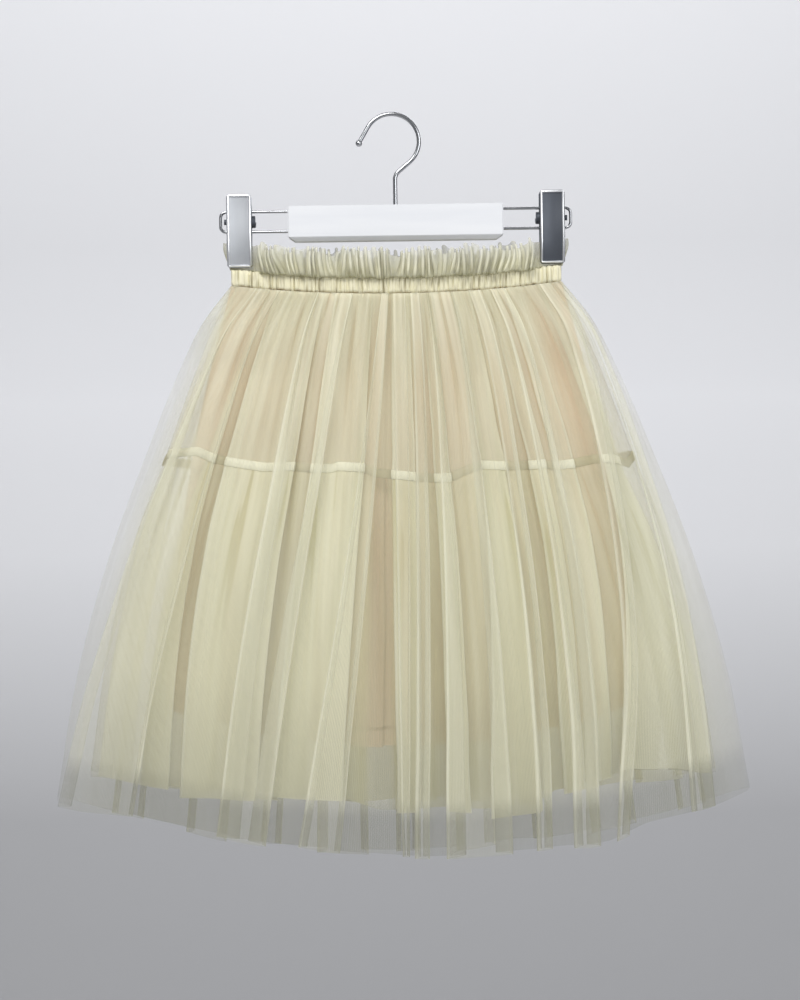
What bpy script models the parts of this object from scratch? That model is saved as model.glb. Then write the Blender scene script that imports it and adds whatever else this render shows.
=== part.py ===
"""A gathered tulle skirt held by its waist on a hanger with two clips.

Metres, +Z up, the front towards -Y. The origin is the underside of the hook's crown,
where the hanger rests on a peg or rail.

The cloth is a set of open tubes, each cut into a front and a back panel. A tube is worked
out from sections: rounded outlines whose half width and depth come from a short table.
Folds run down the panels, and the table of folds gives each one's share of the width.
"""

import math

import bmesh
import bpy
import numpy as np

# Driving sizes of the cloth
SEAM_GAP = 0.0003
CLOTH_WALL = 0.0010
CASING_WALL = 0.0036
CASING_RIB = 0.0012
CASING_HEIGHT = 0.0130
FRILL_HEIGHT = 0.0210
WAIST_HALF_WIDTH = 0.1320
WAIST_SIDE_Z = -0.1205
WAIST_DROOP = 0.0090
WAIST_FRONT_DEPTH = 0.0120
WAIST_BACK_DEPTH = 0.0090
PINCHED = 5.0
PLEATS_PER_PANEL = 32
TAPE_HALF_HEIGHT = 0.0037
BACK_FOLD_SHARE = 0.6

# Driving sizes of the hanger
HOOK_WIRE = 0.0035
HOOK_RADIUS = 0.0220
HOOK_CENTRE_X = -0.0025
HOOK_TIP_ANGLE = 150.0
HOOK_TURN_ANGLE = -50.0
HOOK_TIP_RUN = 0.0140
HOOK_BALL = 0.0027
NECK_BEND = 0.0080
BLOCK_HALF_WIDTH = 0.0860
BLOCK_HALF_DEPTH = 0.0070
BLOCK_TOP = -0.0712
BLOCK_RIM = -0.0960
BLOCK_BOTTOM = -0.1000
BLOCK_CHAMFER_X = 0.0055
BLOCK_CHAMFER_Y = 0.0035
SOCKET_DEPTH = 0.0180
WIRE = 0.0024
WIRE_HIGH_Z = -0.0750
WIRE_LOW_Z = -0.0910
WIRE_REACH = 0.1400
WIRE_INNER_X = 0.0200
WIRE_CORNER = 0.0045
CLIP_X = 0.1250
CLIP_HALF_WIDTH = 0.0100
CLIP_METAL = 0.0012
CLIP_CORNER = 0.0012
SADDLE_HALF_WIDTH = 0.0070

# One row for each level of a panel, from its top to its hem. z is the height at the side
# seams and droop is how far the middle hangs below that. roundness 1 is an ellipse, and
# a higher one pinches the sides flat. stack sets a layer clear of those inside it. folds
# is the share of the folds' depth that has opened at that level.
SECTION_COLUMNS = ("z", "droop", "half_width", "front_depth", "back_depth", "roundness", "stack", "folds")
WAIST_SEAM_Z = WAIST_SIDE_Z - CASING_HEIGHT - SEAM_GAP
LAYER_STEP = CLOTH_WALL + SEAM_GAP
OUTER_SECTIONS = (
    (WAIST_SEAM_Z, 0.009, 0.132, 0.012, 0.009, PINCHED, 2 * LAYER_STEP, 0.12),
    (-0.163, 0.012, 0.155, 0.024, 0.017, 1.30, LAYER_STEP, 0.30),
    (-0.200, 0.015, 0.174, 0.036, 0.025, 1.20, 0.0, 0.50),
    (-0.265, 0.020, 0.201, 0.049, 0.032, 1.05, 0.0, 0.70),
    (-0.350, 0.027, 0.233, 0.062, 0.040, 1.00, 0.0, 0.85),
    (-0.445, 0.035, 0.260, 0.072, 0.045, 1.00, 0.0, 0.95),
    (-0.541, 0.042, 0.277, 0.078, 0.048, 1.00, 0.0, 1.00),
)
TIER_SEAM_Z = -0.2735
UPPER_TIER_SECTIONS = (
    (WAIST_SEAM_Z, 0.009, 0.132, 0.012, 0.009, PINCHED, LAYER_STEP, 0.00),
    (-0.195, 0.010, 0.159, 0.023, 0.016, 1.50, 0.0, 0.30),
    (TIER_SEAM_Z, 0.012, 0.188, 0.036, 0.023, 1.10, 0.0, 0.40),
)
LOWER_TIER_SECTIONS = (
    (TIER_SEAM_Z - SEAM_GAP, 0.012, 0.188, 0.036, 0.023, 1.10, 0.0, 0.40),
    (-0.335, 0.014, 0.212, 0.044, 0.027, 1.00, 0.0, 0.80),
    (-0.425, 0.019, 0.235, 0.051, 0.030, 1.00, 0.0, 0.95),
    (-0.525, 0.024, 0.250, 0.056, 0.032, 1.00, 0.0, 1.00),
)
LINING_SECTIONS = (
    (WAIST_SEAM_Z, 0.009, 0.132, 0.012, 0.009, PINCHED, 0.0, 0.00),
    (-0.240, 0.012, 0.159, 0.021, 0.014, 1.50, 0.0, 0.45),
    (-0.355, 0.019, 0.178, 0.029, 0.017, 1.15, 0.0, 0.80),
    (-0.470, 0.030, 0.190, 0.034, 0.0195, 1.00, 0.0, 1.00),
)

# One row for each fold, from the left side seam to the right one as seen from the front.
# until is where its right edge lies, as a share of the half width, depth is how far it
# stands out, and tuck is how far its flanks turn under it, as a part of its own width.
FOLD_COLUMNS = ("until", "depth", "tuck")
OUTER_FOLDS = (
    (-0.78, 0.007, 0.02),
    (-0.53, 0.010, 0.06),
    (-0.39, 0.012, 0.16),
    (-0.27, 0.011, 0.12),
    (-0.18, 0.009, 0.14),
    (0.00, 0.012, 0.12),
    (0.08, 0.007, 0.10),
    (0.31, 0.013, 0.14),
    (0.43, 0.010, 0.12),
    (0.65, 0.013, 0.16),
    (1.00, 0.008, 0.03),
)
TIER_FOLDS = (
    (-0.70, 0.009, 0.06),
    (-0.45, 0.012, 0.14),
    (-0.19, 0.012, 0.14),
    (-0.06, 0.007, 0.08),
    (0.05, 0.008, 0.12),
    (0.27, 0.009, 0.10),
    (0.44, 0.011, 0.15),
    (0.68, 0.008, 0.08),
    (1.00, 0.010, 0.06),
)
LINING_FOLDS = (
    (-0.58, 0.004, 0.0),
    (-0.22, 0.006, 0.0),
    (0.14, 0.005, 0.0),
    (0.55, 0.006, 0.0),
    (1.00, 0.004, 0.0),
)

# The ruffle above the elastic, from its root to its top: height above the root as a share
# of the frill's own height, how far it leans out, and how deep its waves are.
FRILL_COLUMNS = ("rise", "lean", "wave", "widen")
FRILL_LEVELS = (
    (0.00, 0.0012, 0.0008, 0.000),
    (0.32, 0.0048, 0.0036, 0.003),
    (1.00, 0.0034, 0.0050, 0.006),
)
# Inside the clips the frill lies flat, and it opens again within this distance of them.
FRILL_FLAT_FROM = 0.1140
FRILL_OPEN_BELOW = 0.1050

# One row for each level of a clip's jaw plate, from its finger end down to its grip: the
# outer face's distance from the hanger's middle plane, and the depth of the side flanges.
JAW_COLUMNS = ("z", "face", "flange")
JAW_LEVELS = (
    (-0.0615, 0.0086, 0.0030),
    (-0.0700, 0.0082, 0.0036),
    (-0.0970, 0.0082, 0.0036),
    (-0.1080, 0.0066, 0.0026),
    (-0.1195, 0.0030, 0.0014),
)

CURVE_STEPS = 240
OUTER_STEPS = 6
TIER_STEPS = 6
LINING_STEPS = 4
PLEAT_STEPS = 4
RIM_LEAN_LIMIT = 0.6
MITRE_LIMIT = 1.3
SMOOTH_ANGLE = math.radians(50)
WIRE_SIDES = 8


def rows_of(columns, table):
    """The table's rows as dictionaries."""
    return [dict(zip(columns, row)) for row in table]


def mix(a, b, t):
    return a + (b - a) * t


def smooth_step(low, high, value):
    t = min(1.0, max(0.0, (value - low) / (high - low)))
    return t * t * (3 - 2 * t)


class Outline:
    """Half of a tube's rounded section, from the left side seam to the right one, measured by its own length.

    x runs across, and out is the distance from the middle plane, towards the front or the back."""

    def __init__(self, half_width, depth, roundness):
        angle = np.linspace(0.0, math.pi, CURVE_STEPS + 1)
        sine = np.sin(angle)
        sine[-1] = 0.0
        self.x = -half_width * np.cos(angle)
        self.out = depth * sine**roundness
        self.middle = sine**2
        dx = np.diff(self.x)
        dy = np.diff(self.out)
        self.run = np.concatenate([[0.0], np.cumsum(np.hypot(dx, dy))])
        self.length = self.run[-1]
        tangent_x = np.gradient(self.x, self.run)
        tangent_y = np.gradient(self.out, self.run)
        size = np.hypot(tangent_x, tangent_y)
        self.normal_x = -tangent_y / size
        self.normal_out = tangent_x / size

    def at(self, run, height=0.0):
        """The point that far along the outline, raised by height: x, out, and its nearness to the middle."""
        x = np.interp(run, self.run, self.x)
        out = np.interp(run, self.run, self.out)
        nx = np.interp(run, self.run, self.normal_x)
        no = np.interp(run, self.run, self.normal_out)
        return x + nx * height, out + no * height, np.interp(run, self.run, self.middle)


def folded_row(level, depth, folds, steps, fold_scale):
    """The points of one level of a panel, with its folds: x, out and z of each."""
    outline = Outline(level["half_width"], depth, level["roundness"])
    opened = level["folds"]
    left = -1.0
    points = [outline.at(0.0)]
    for fold in folds:
        start, end = np.interp((left, fold["until"]), outline.x / level["half_width"], outline.run)
        width = end - start
        for step in range(1, steps + 1):
            phase = -math.pi + 2 * math.pi * step / steps
            along = width * phase / (2 * math.pi) + fold["tuck"] * opened * width * math.sin(2 * phase)
            raised = fold["depth"] * fold_scale * opened * (1 + math.cos(phase)) / 2
            points.append(outline.at((start + end) / 2 + along, raised))
        left = fold["until"]
    x, out, middle = np.array(points).T
    return np.stack([x, out + level["stack"], level["z"] - level["droop"] * middle], axis=1)


def unit(vectors):
    return vectors / np.linalg.norm(vectors, axis=-1, keepdims=True)


def surface_offset(grid):
    """The level direction that moves a wall's face by one unit of true thickness, at each point of a grid."""
    step = np.diff(grid, axis=1)
    before = unit(np.concatenate([step[:, :1], step], axis=1))
    after = unit(np.concatenate([step, step[:, -1:]], axis=1))
    normal = unit(np.cross(before + after, np.gradient(grid, axis=0)))
    level = normal * (1, 1, 0)
    share = np.linalg.norm(level, axis=2, keepdims=True)
    half_turn = np.sqrt((1 + (before * after).sum(axis=2, keepdims=True)) / 2)
    mitre = np.minimum(1 / np.maximum(half_turn, 1 / MITRE_LIMIT), MITRE_LIMIT)
    outward = -1.0 if normal[..., 1].mean() < 0 else 1.0
    return level / share / np.maximum(share, RIM_LEAN_LIMIT) * mitre * outward


def closed_wall(name, outer, inner, side):
    """A solid from the faces of a wall, given as grids of (x, out, z). side is -1 in front and 1 behind."""
    rows, columns = outer.shape[:2]
    mesh = bmesh.new()

    def add(grid):
        return [[mesh.verts.new((p[0], side * p[1], p[2])) for p in row] for row in grid]

    faces_out = add(outer)
    faces_in = add(inner)
    for r in range(rows - 1):
        for c in range(columns - 1):
            for face in (faces_out, faces_in):
                mesh.faces.new((face[r][c], face[r][c + 1], face[r + 1][c + 1], face[r + 1][c]))
    for c in range(columns - 1):
        mesh.faces.new((faces_out[0][c], faces_in[0][c], faces_in[0][c + 1], faces_out[0][c + 1]))
        mesh.faces.new((faces_out[-1][c], faces_out[-1][c + 1], faces_in[-1][c + 1], faces_in[-1][c]))
    for r in range(rows - 1):
        mesh.faces.new((faces_out[r][0], faces_out[r + 1][0], faces_in[r + 1][0], faces_in[r][0]))
        mesh.faces.new((faces_out[r][-1], faces_in[r][-1], faces_in[r + 1][-1], faces_out[r + 1][-1]))
    return finish_mesh(name, mesh)


def finish_mesh(name, mesh):
    """Turns a bmesh into a smooth-shaded object whose faces point out."""
    bmesh.ops.triangulate(mesh, faces=mesh.faces[:])
    bmesh.ops.recalc_face_normals(mesh, faces=mesh.faces[:])
    data = bpy.data.meshes.new(name)
    mesh.to_mesh(data)
    mesh.free()
    data.shade_smooth()
    data.set_sharp_from_angle(angle=SMOOTH_ANGLE)
    made = bpy.data.objects.new(name, data)
    bpy.context.scene.collection.objects.link(made)
    return made


def wall_faces(grid, thickness):
    """The outer and inner faces of a wall about a grid, kept clear of the other panel at the seams."""
    offset = surface_offset(grid) * thickness / 2
    faces = []
    for face in (grid + offset, grid - offset):
        face[..., 1] = np.maximum(face[..., 1], SEAM_GAP / 2)
        faces.append(face)
    return faces


def panel_grid(sections, folds, steps, side):
    """The middle surface of a front or back panel as a grid of (x, out, z)."""
    scale = 1.0 if side < 0 else BACK_FOLD_SHARE
    depth = "front_depth" if side < 0 else "back_depth"
    grid = np.array([folded_row(level, level[depth], folds, steps, scale) for level in sections])
    lying_flat = np.abs(surface_offset(grid)[:, 0, 1])
    edge = (SEAM_GAP + CLOTH_WALL * np.minimum(lying_flat, 1.0)) / 2
    grid[..., 1] += edge[:, None]
    return grid


def panel(name, grid, side, thickness=CLOTH_WALL):
    outer, inner = wall_faces(grid, thickness)
    return closed_wall(name, outer, inner, side)


def tape(name, upper, lower, side):
    """The binding over the seam between two tiers, made from the points of both and moved out."""
    above = TAPE_HALF_HEIGHT / (upper[-2, 0, 2] - upper[-1, 0, 2])
    below = TAPE_HALF_HEIGHT / (lower[0, 0, 2] - lower[1, 0, 2])
    grid = np.array([mix(upper[-1], upper[-2], above), mix(lower[0], lower[1], below)])
    return panel(name, grid + surface_offset(grid) * LAYER_STEP, side)


def waist_outline(side, widen=0.0):
    depth = WAIST_FRONT_DEPTH if side < 0 else WAIST_BACK_DEPTH
    return Outline(WAIST_HALF_WIDTH + widen, depth, PINCHED)


def pleat_runs():
    """The places of the pleats' points along a waist panel, from 0 to 1, with pleats of uneven width."""
    count = np.arange(PLEATS_PER_PANEL)
    widths = 1 + 0.28 * np.sin(1.9 * count) + 0.16 * np.sin(4.3 * count + 1)
    edges = np.concatenate([[0.0], np.cumsum(widths) / widths.sum()])
    places = np.arange(PLEATS_PER_PANEL * PLEAT_STEPS + 1) / PLEAT_STEPS
    return np.interp(places, np.arange(PLEATS_PER_PANEL + 1), edges)


def pleat_wave():
    """How far each of those points stands out, from 0 in a trough to 1 on a crest."""
    count = PLEATS_PER_PANEL * PLEAT_STEPS + 1
    return np.array([(1 - math.cos(2 * math.pi * n / PLEAT_STEPS)) / 2 for n in range(count)])


def casing(name, side):
    """The gathered elastic casing: ribs in its outer face over a plain inside."""
    outline = waist_outline(side)
    runs = pleat_runs() * outline.length
    outer, inner = [], []
    for drop in (0.0, CASING_HEIGHT):
        for rows, height in ((inner, 0.0), (outer, CASING_WALL + CASING_RIB * (pleat_wave() - 0.5))):
            x, out, middle = outline.at(runs, height)
            z = WAIST_SIDE_Z - WAIST_DROOP * middle - drop
            rows.append(np.stack([x, out + SEAM_GAP / 2, z], axis=1))
    return closed_wall(name, np.array(outer), np.array(inner), side)


def frill(name, side):
    """The ruffle that stands above the casing, flat where the clips grip it."""
    grid = []
    wave = pleat_wave()
    for level in rows_of(FRILL_COLUMNS, FRILL_LEVELS):
        outline = waist_outline(side, level["widen"])
        runs = pleat_runs() * outline.length
        x, _, middle = outline.at(runs)
        loose = np.array([1 - smooth_step(FRILL_OPEN_BELOW, FRILL_FLAT_FROM, abs(v)) for v in x])
        raised = (level["lean"] + level["wave"] * (wave - 0.5)) * loose
        x, out, _ = outline.at(runs, raised)
        uneven = 1 + 0.09 * np.sin(np.arange(len(runs)) * 0.61) * loose
        z = WAIST_SIDE_Z + SEAM_GAP - WAIST_DROOP * middle + FRILL_HEIGHT * level["rise"] * uneven
        grid.append(np.stack([x, out + (SEAM_GAP + CLOTH_WALL) / 2, z], axis=1))
    return panel(name, np.array(grid)[::-1], side)


def wire(name, points, diameters):
    """A round wire through points (x, z) of the middle plane, with mitred bends and flat ends."""
    path = np.array(points)
    step = unit(np.diff(path, axis=0))
    before = np.concatenate([step[:1], step])
    after = np.concatenate([step, step[-1:]])
    heading = unit(before + after)
    mitre = 1 / (heading * after).sum(axis=1)
    mesh = bmesh.new()
    rings = []
    for (x, z), (hx, hz), stretch, diameter in zip(path, heading, mitre, diameters):
        ring = []
        for n in range(WIRE_SIDES):
            angle = 2 * math.pi * n / WIRE_SIDES
            across = math.cos(angle) * stretch * diameter / 2
            ring.append(mesh.verts.new((x - hz * across, math.sin(angle) * diameter / 2, z + hx * across)))
        rings.append(ring)
    for upper, lower in zip(rings, rings[1:]):
        for n in range(WIRE_SIDES):
            following = (n + 1) % WIRE_SIDES
            mesh.faces.new((upper[n], upper[following], lower[following], lower[n]))
    mesh.faces.new(rings[0])
    mesh.faces.new(rings[-1][::-1])
    return finish_mesh(name, mesh)


def arc(centre, radius, start, end, steps):
    """Points (x, z) of an arc, with its angles in degrees from +X."""
    angles = [math.radians(mix(start, end, n / steps)) for n in range(steps + 1)]
    return [(centre[0] + radius * math.cos(a), centre[1] + radius * math.sin(a)) for a in angles]


def hook():
    """The wire hook: a ball tip, a short run, the crown's arc, a neck and a shank in the block's socket."""
    inner_radius = HOOK_RADIUS - HOOK_WIRE / 2
    centre = (HOOK_CENTRE_X, -math.sqrt(inner_radius**2 - HOOK_CENTRE_X**2))
    crown = arc(centre, HOOK_RADIUS, HOOK_TIP_ANGLE, HOOK_TURN_ANGLE, 20)
    lean = math.radians(HOOK_TIP_ANGLE)
    tip_heading = np.array((-math.sin(lean), math.cos(lean)))
    ball_centre = np.array(crown[0]) + tip_heading * HOOK_TIP_RUN
    ball_angles = [math.radians(a) for a in (75, 45, 15, -15, -45)]
    ball = [tuple(ball_centre + tip_heading * HOOK_BALL * math.sin(a)) for a in ball_angles]
    ball_widths = [2 * HOOK_BALL * math.cos(a) for a in ball_angles]
    bend = 90 - abs(HOOK_TURN_ANGLE)
    turn = math.radians(HOOK_TURN_ANGLE)
    across = NECK_BEND * (1 - math.cos(turn))
    run = (crown[-1][0] - across) / -math.sin(turn)
    neck_top = crown[-1][1] - run * math.cos(turn)
    neck = arc((NECK_BEND, neck_top + NECK_BEND * math.sin(turn)), NECK_BEND, 90 + bend, 180, 5)
    shank_end = (0.0, BLOCK_TOP - SOCKET_DEPTH + SEAM_GAP)
    line = [*crown, *neck, shank_end]
    return wire("hanger_hook", ball + line, ball_widths + [HOOK_WIRE] * len(line))


def cut(target, name, start, end, diameter):
    """Drills a round hole between two points (x, z) of the middle plane."""
    cutter = wire(name, [start, end], [diameter, diameter])
    cutter.hide_render = True
    cutter.display_type = "WIRE"
    step = target.modifiers.new(name, "BOOLEAN")
    step.object = cutter
    step.operation = "DIFFERENCE"
    step.solver = "EXACT"


def block():
    """The painted wooden bar with a chamfered lower rim, drilled for the wires and the hook."""
    mesh = bmesh.new()
    low_x = BLOCK_HALF_WIDTH - BLOCK_CHAMFER_X
    low_y = BLOCK_HALF_DEPTH - BLOCK_CHAMFER_Y
    levels = (
        (BLOCK_TOP, BLOCK_HALF_WIDTH, BLOCK_HALF_DEPTH),
        (BLOCK_RIM, BLOCK_HALF_WIDTH, BLOCK_HALF_DEPTH),
        (BLOCK_BOTTOM, low_x, low_y),
    )
    corners = ((-1, -1), (1, -1), (1, 1), (-1, 1))
    rings = [[mesh.verts.new((sx * x, sy * y, z)) for sx, sy in corners] for z, x, y in levels]
    for upper, lower in zip(rings, rings[1:]):
        for n in range(4):
            mesh.faces.new((upper[n], lower[n], lower[(n + 1) % 4], upper[(n + 1) % 4]))
    mesh.faces.new(rings[0])
    mesh.faces.new(rings[-1][::-1])
    bar = finish_mesh("hanger_block", mesh)
    rounding = bar.modifiers.new("rounding", "BEVEL")
    rounding.width = 0.0008
    rounding.segments = 1
    hole_end = WIRE_INNER_X - SEAM_GAP
    outside = BLOCK_HALF_WIDTH + SOCKET_DEPTH
    for side in (-1, 1):
        for z in (WIRE_HIGH_Z, WIRE_LOW_Z):
            cut(bar, "wire_hole", (side * hole_end, z), (side * outside, z), WIRE + 2 * SEAM_GAP)
    above = BLOCK_TOP + SOCKET_DEPTH
    cut(bar, "hook_socket", (0, BLOCK_TOP - SOCKET_DEPTH), (0, above), HOOK_WIRE + 2 * SEAM_GAP)
    return bar


def wire_loop(name, side):
    """One of the two chrome loops that slide into the block."""
    reach = WIRE_REACH - WIRE_CORNER
    high = arc((reach, WIRE_HIGH_Z - WIRE_CORNER), WIRE_CORNER, 90, 0, 4)
    low = arc((reach, WIRE_LOW_Z + WIRE_CORNER), WIRE_CORNER, 0, -90, 4)
    points = [(WIRE_INNER_X, WIRE_HIGH_Z), *high, *low, (WIRE_INNER_X, WIRE_LOW_Z)]
    return wire(name, [(side * x, z) for x, z in points], [WIRE] * len(points))


def jaw(name, clip_x, side):
    """A clip's jaw: a bowed plate with side flanges. side is -1 for the front jaw."""
    grid = []
    for level in rows_of(JAW_COLUMNS, JAW_LEVELS):
        edge = CLIP_HALF_WIDTH
        face = level["face"]
        section = (
            (-edge, face - level["flange"]),
            (-edge, face - CLIP_CORNER),
            (-edge + CLIP_CORNER, face),
            (edge - CLIP_CORNER, face),
            (edge, face - CLIP_CORNER),
            (edge, face - level["flange"]),
        )
        grid.append([(x, out, level["z"]) for x, out in section])
    grid = np.array(grid)
    made = closed_wall(name, grid, grid - surface_offset(grid) * CLIP_METAL, side)
    made.location.x = clip_x
    return made


def saddle(name, clip_x):
    """The piece between a clip's jaws that rides on both wires."""
    depth = JAW_LEVELS[1][1] - CLIP_METAL - SEAM_GAP
    top, bottom = JAW_LEVELS[1][0], JAW_LEVELS[2][0]
    mesh = bmesh.new()
    bmesh.ops.create_cube(mesh, size=1.0)
    for vertex in mesh.verts:
        vertex.co.x *= 2 * SADDLE_HALF_WIDTH
        vertex.co.y *= 2 * depth
        vertex.co.z = (top + bottom) / 2 + vertex.co.z * (top - bottom)
    made = finish_mesh(name, mesh)
    made.location.x = clip_x
    for z in (WIRE_HIGH_Z, WIRE_LOW_Z):
        left, right = [clip_x + reach for reach in (-2 * SADDLE_HALF_WIDTH, 2 * SADDLE_HALF_WIDTH)]
        cut(made, "saddle_hole", (left, z), (right, z), WIRE + 2 * SEAM_GAP)
    return made


def paint(made, name, color, roughness, metallic=0.0):
    """Gives an object its own plain material."""
    material = bpy.data.materials.new(name)
    material.use_nodes = True
    shader = material.node_tree.nodes["Principled BSDF"]
    shader.inputs["Base Color"].default_value = (*color, 1.0)
    shader.inputs["Roughness"].default_value = roughness
    shader.inputs["Metallic"].default_value = metallic
    made.data.materials.clear()
    made.data.materials.append(material)


OUTER_TULLE = (0.86, 0.85, 0.72)
TIER_TULLE = (0.83, 0.81, 0.62)
SEAM_TAPE = (0.88, 0.86, 0.70)
LINING_CLOTH = (0.84, 0.73, 0.60)
FRILL_TULLE = (0.82, 0.81, 0.70)
WHITE_PAINT = (0.90, 0.90, 0.92)
CHROME = (0.75, 0.76, 0.78)


def build_cloth():
    outer = rows_of(SECTION_COLUMNS, OUTER_SECTIONS)
    upper = rows_of(SECTION_COLUMNS, UPPER_TIER_SECTIONS)
    lower = rows_of(SECTION_COLUMNS, LOWER_TIER_SECTIONS)
    lining = rows_of(SECTION_COLUMNS, LINING_SECTIONS)
    outer_folds = rows_of(FOLD_COLUMNS, OUTER_FOLDS)
    tier_folds = rows_of(FOLD_COLUMNS, TIER_FOLDS)
    lining_folds = rows_of(FOLD_COLUMNS, LINING_FOLDS)
    for place, side in (("front", -1), ("back", 1)):
        skirt = panel(f"outer_{place}", panel_grid(outer, outer_folds, OUTER_STEPS, side), side)
        paint(skirt, f"outer_tulle_{place}", OUTER_TULLE, 0.8)
        upper_grid = panel_grid(upper, tier_folds, TIER_STEPS, side)
        lower_grid = panel_grid(lower, tier_folds, TIER_STEPS, side)
        paint(panel(f"tier_upper_{place}", upper_grid, side), f"upper_tier_{place}", TIER_TULLE, 0.8)
        paint(panel(f"tier_lower_{place}", lower_grid, side), f"lower_tier_{place}", TIER_TULLE, 0.8)
        band = tape(f"tier_tape_{place}", upper_grid, lower_grid, side)
        paint(band, f"seam_tape_{place}", SEAM_TAPE, 0.7)
        inside = panel(f"lining_{place}", panel_grid(lining, lining_folds, LINING_STEPS, side), side)
        paint(inside, f"lining_cloth_{place}", LINING_CLOTH, 0.6)
        paint(casing(f"casing_{place}", side), f"casing_tulle_{place}", TIER_TULLE, 0.8)
        paint(frill(f"frill_{place}", side), f"frill_tulle_{place}", FRILL_TULLE, 0.85)


def build_hanger():
    paint(hook(), "hook_chrome", CHROME, 0.15, 1.0)
    paint(block(), "white_paint", WHITE_PAINT, 0.35)
    for place, side in (("left", -1), ("right", 1)):
        paint(wire_loop(f"hanger_wire_{place}", side), f"wire_chrome_{place}", CHROME, 0.15, 1.0)
        paint(saddle(f"clip_saddle_{place}", side * CLIP_X), f"saddle_chrome_{place}", CHROME, 0.3, 1.0)
        for face, facing in (("front", -1), ("back", 1)):
            plate = jaw(f"clip_jaw_{place}_{face}", side * CLIP_X, facing)
            paint(plate, f"jaw_chrome_{place}_{face}", CHROME, 0.3, 1.0)


def main():
    for old in list(bpy.data.objects):
        bpy.data.objects.remove(old)
    build_cloth()
    build_hanger()


main()
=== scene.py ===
"""Dresses the tulle skirt and its clip hanger, and lights them for the photograph's view."""

import math

import bmesh
import bpy
import numpy as np
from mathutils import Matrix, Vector


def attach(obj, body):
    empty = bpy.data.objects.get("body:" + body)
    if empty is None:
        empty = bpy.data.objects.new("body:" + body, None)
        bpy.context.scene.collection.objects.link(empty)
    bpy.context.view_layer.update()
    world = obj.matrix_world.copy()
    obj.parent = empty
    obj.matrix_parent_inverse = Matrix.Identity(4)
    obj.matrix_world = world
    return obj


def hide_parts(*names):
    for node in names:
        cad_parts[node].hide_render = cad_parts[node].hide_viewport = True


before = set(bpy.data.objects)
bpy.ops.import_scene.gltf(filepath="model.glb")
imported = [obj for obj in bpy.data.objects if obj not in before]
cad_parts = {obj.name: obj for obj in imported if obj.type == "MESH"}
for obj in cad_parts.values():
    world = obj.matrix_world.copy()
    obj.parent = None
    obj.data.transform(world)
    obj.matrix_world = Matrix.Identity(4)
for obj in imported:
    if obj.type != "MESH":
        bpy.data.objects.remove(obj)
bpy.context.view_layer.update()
scene = bpy.context.scene

# Sizes that part.py sets, in metres
SEAM_GAP = 0.0003
LAYER_STEP = 0.0013
CASING_WALL = 0.0036
CASING_HEIGHT = 0.013
FRILL_HEIGHT = 0.021
WAIST_HALF_WIDTH = 0.132
WAIST_SIDE_Z = -0.1205
WAIST_DROOP = 0.009
WAIST_FRONT_DEPTH = 0.012
WAIST_BACK_DEPTH = 0.009
PINCHED = 5.0
WAIST_SEAM_Z = WAIST_SIDE_Z - CASING_HEIGHT - SEAM_GAP
TIER_SEAM_Z = -0.2735
BACK_FOLD_SHARE = 0.6
HOOK_WIRE = 0.0035
HOOK_RADIUS = 0.022
HOOK_CENTRE_X = -0.0025
HOOK_TIP_ANGLE = 150.0
HOOK_TURN_ANGLE = -50.0
HOOK_TIP_RUN = 0.014
HOOK_BALL = 0.0027
NECK_BEND = 0.008
BLOCK_HALF_WIDTH = 0.086
BLOCK_TOP = -0.0712
WIRE = 0.0024
WIRE_HIGH_Z = -0.075
WIRE_LOW_Z = -0.091
WIRE_REACH = 0.14
WIRE_CORNER = 0.0045
CLIP_X = 0.125
CLIP_HALF_WIDTH = 0.01
CLIP_METAL = 0.0012
CLIP_LEVELS = (
    (-0.0615, 0.0086, 0.003),
    (-0.07, 0.0082, 0.0036),
    (-0.097, 0.0082, 0.0036),
    (-0.108, 0.0066, 0.0026),
    (-0.1195, 0.003, 0.0014),
)
TAPE_HALF_HEIGHT = 0.0037
FRILL_FLAT_FROM = 0.114
FRILL_OPEN_BELOW = 0.105

# Levels of a layer: z at the side seams, how far the middle hangs below it, half width, depth
# in front and behind, roundness, room for the layers inside, and how far the folds are open
LEVEL_COLUMNS = ("z", "droop", "half_width", "front_depth", "back_depth", "roundness", "stack", "folds")
OUTER_LEVELS = (
    (WAIST_SEAM_Z, 0.009, 0.132, 0.012, 0.009, PINCHED, 2 * LAYER_STEP, 0.16),
    (-0.163, 0.012, 0.155, 0.024, 0.017, 1.3, LAYER_STEP, 0.32),
    (-0.2, 0.015, 0.174, 0.036, 0.025, 1.2, 0.0, 0.5),
    (-0.265, 0.02, 0.201, 0.049, 0.032, 1.05, 0.0, 0.7),
    (-0.35, 0.027, 0.233, 0.062, 0.04, 1.0, 0.0, 0.85),
    (-0.445, 0.035, 0.26, 0.072, 0.045, 1.0, 0.0, 0.95),
    (-0.541, 0.042, 0.277, 0.078, 0.048, 1.0, 0.0, 1.0),
)
UPPER_TIER_LEVELS = (
    (WAIST_SEAM_Z, 0.009, 0.132, 0.012, 0.009, PINCHED, LAYER_STEP, 0.1),
    (-0.195, 0.01, 0.159, 0.023, 0.016, 1.5, 0.0, 0.3),
    (TIER_SEAM_Z, 0.012, 0.188, 0.036, 0.023, 1.1, 0.0, 0.45),
)
LOWER_TIER_LEVELS = (
    (TIER_SEAM_Z, 0.012, 0.188, 0.036, 0.023, 1.1, 0.0, 0.45),
    (-0.335, 0.014, 0.212, 0.044, 0.027, 1.0, 0.0, 0.8),
    (-0.425, 0.019, 0.235, 0.051, 0.03, 1.0, 0.0, 0.95),
    (-0.525, 0.024, 0.25, 0.056, 0.032, 1.0, 0.0, 1.0),
)
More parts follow.
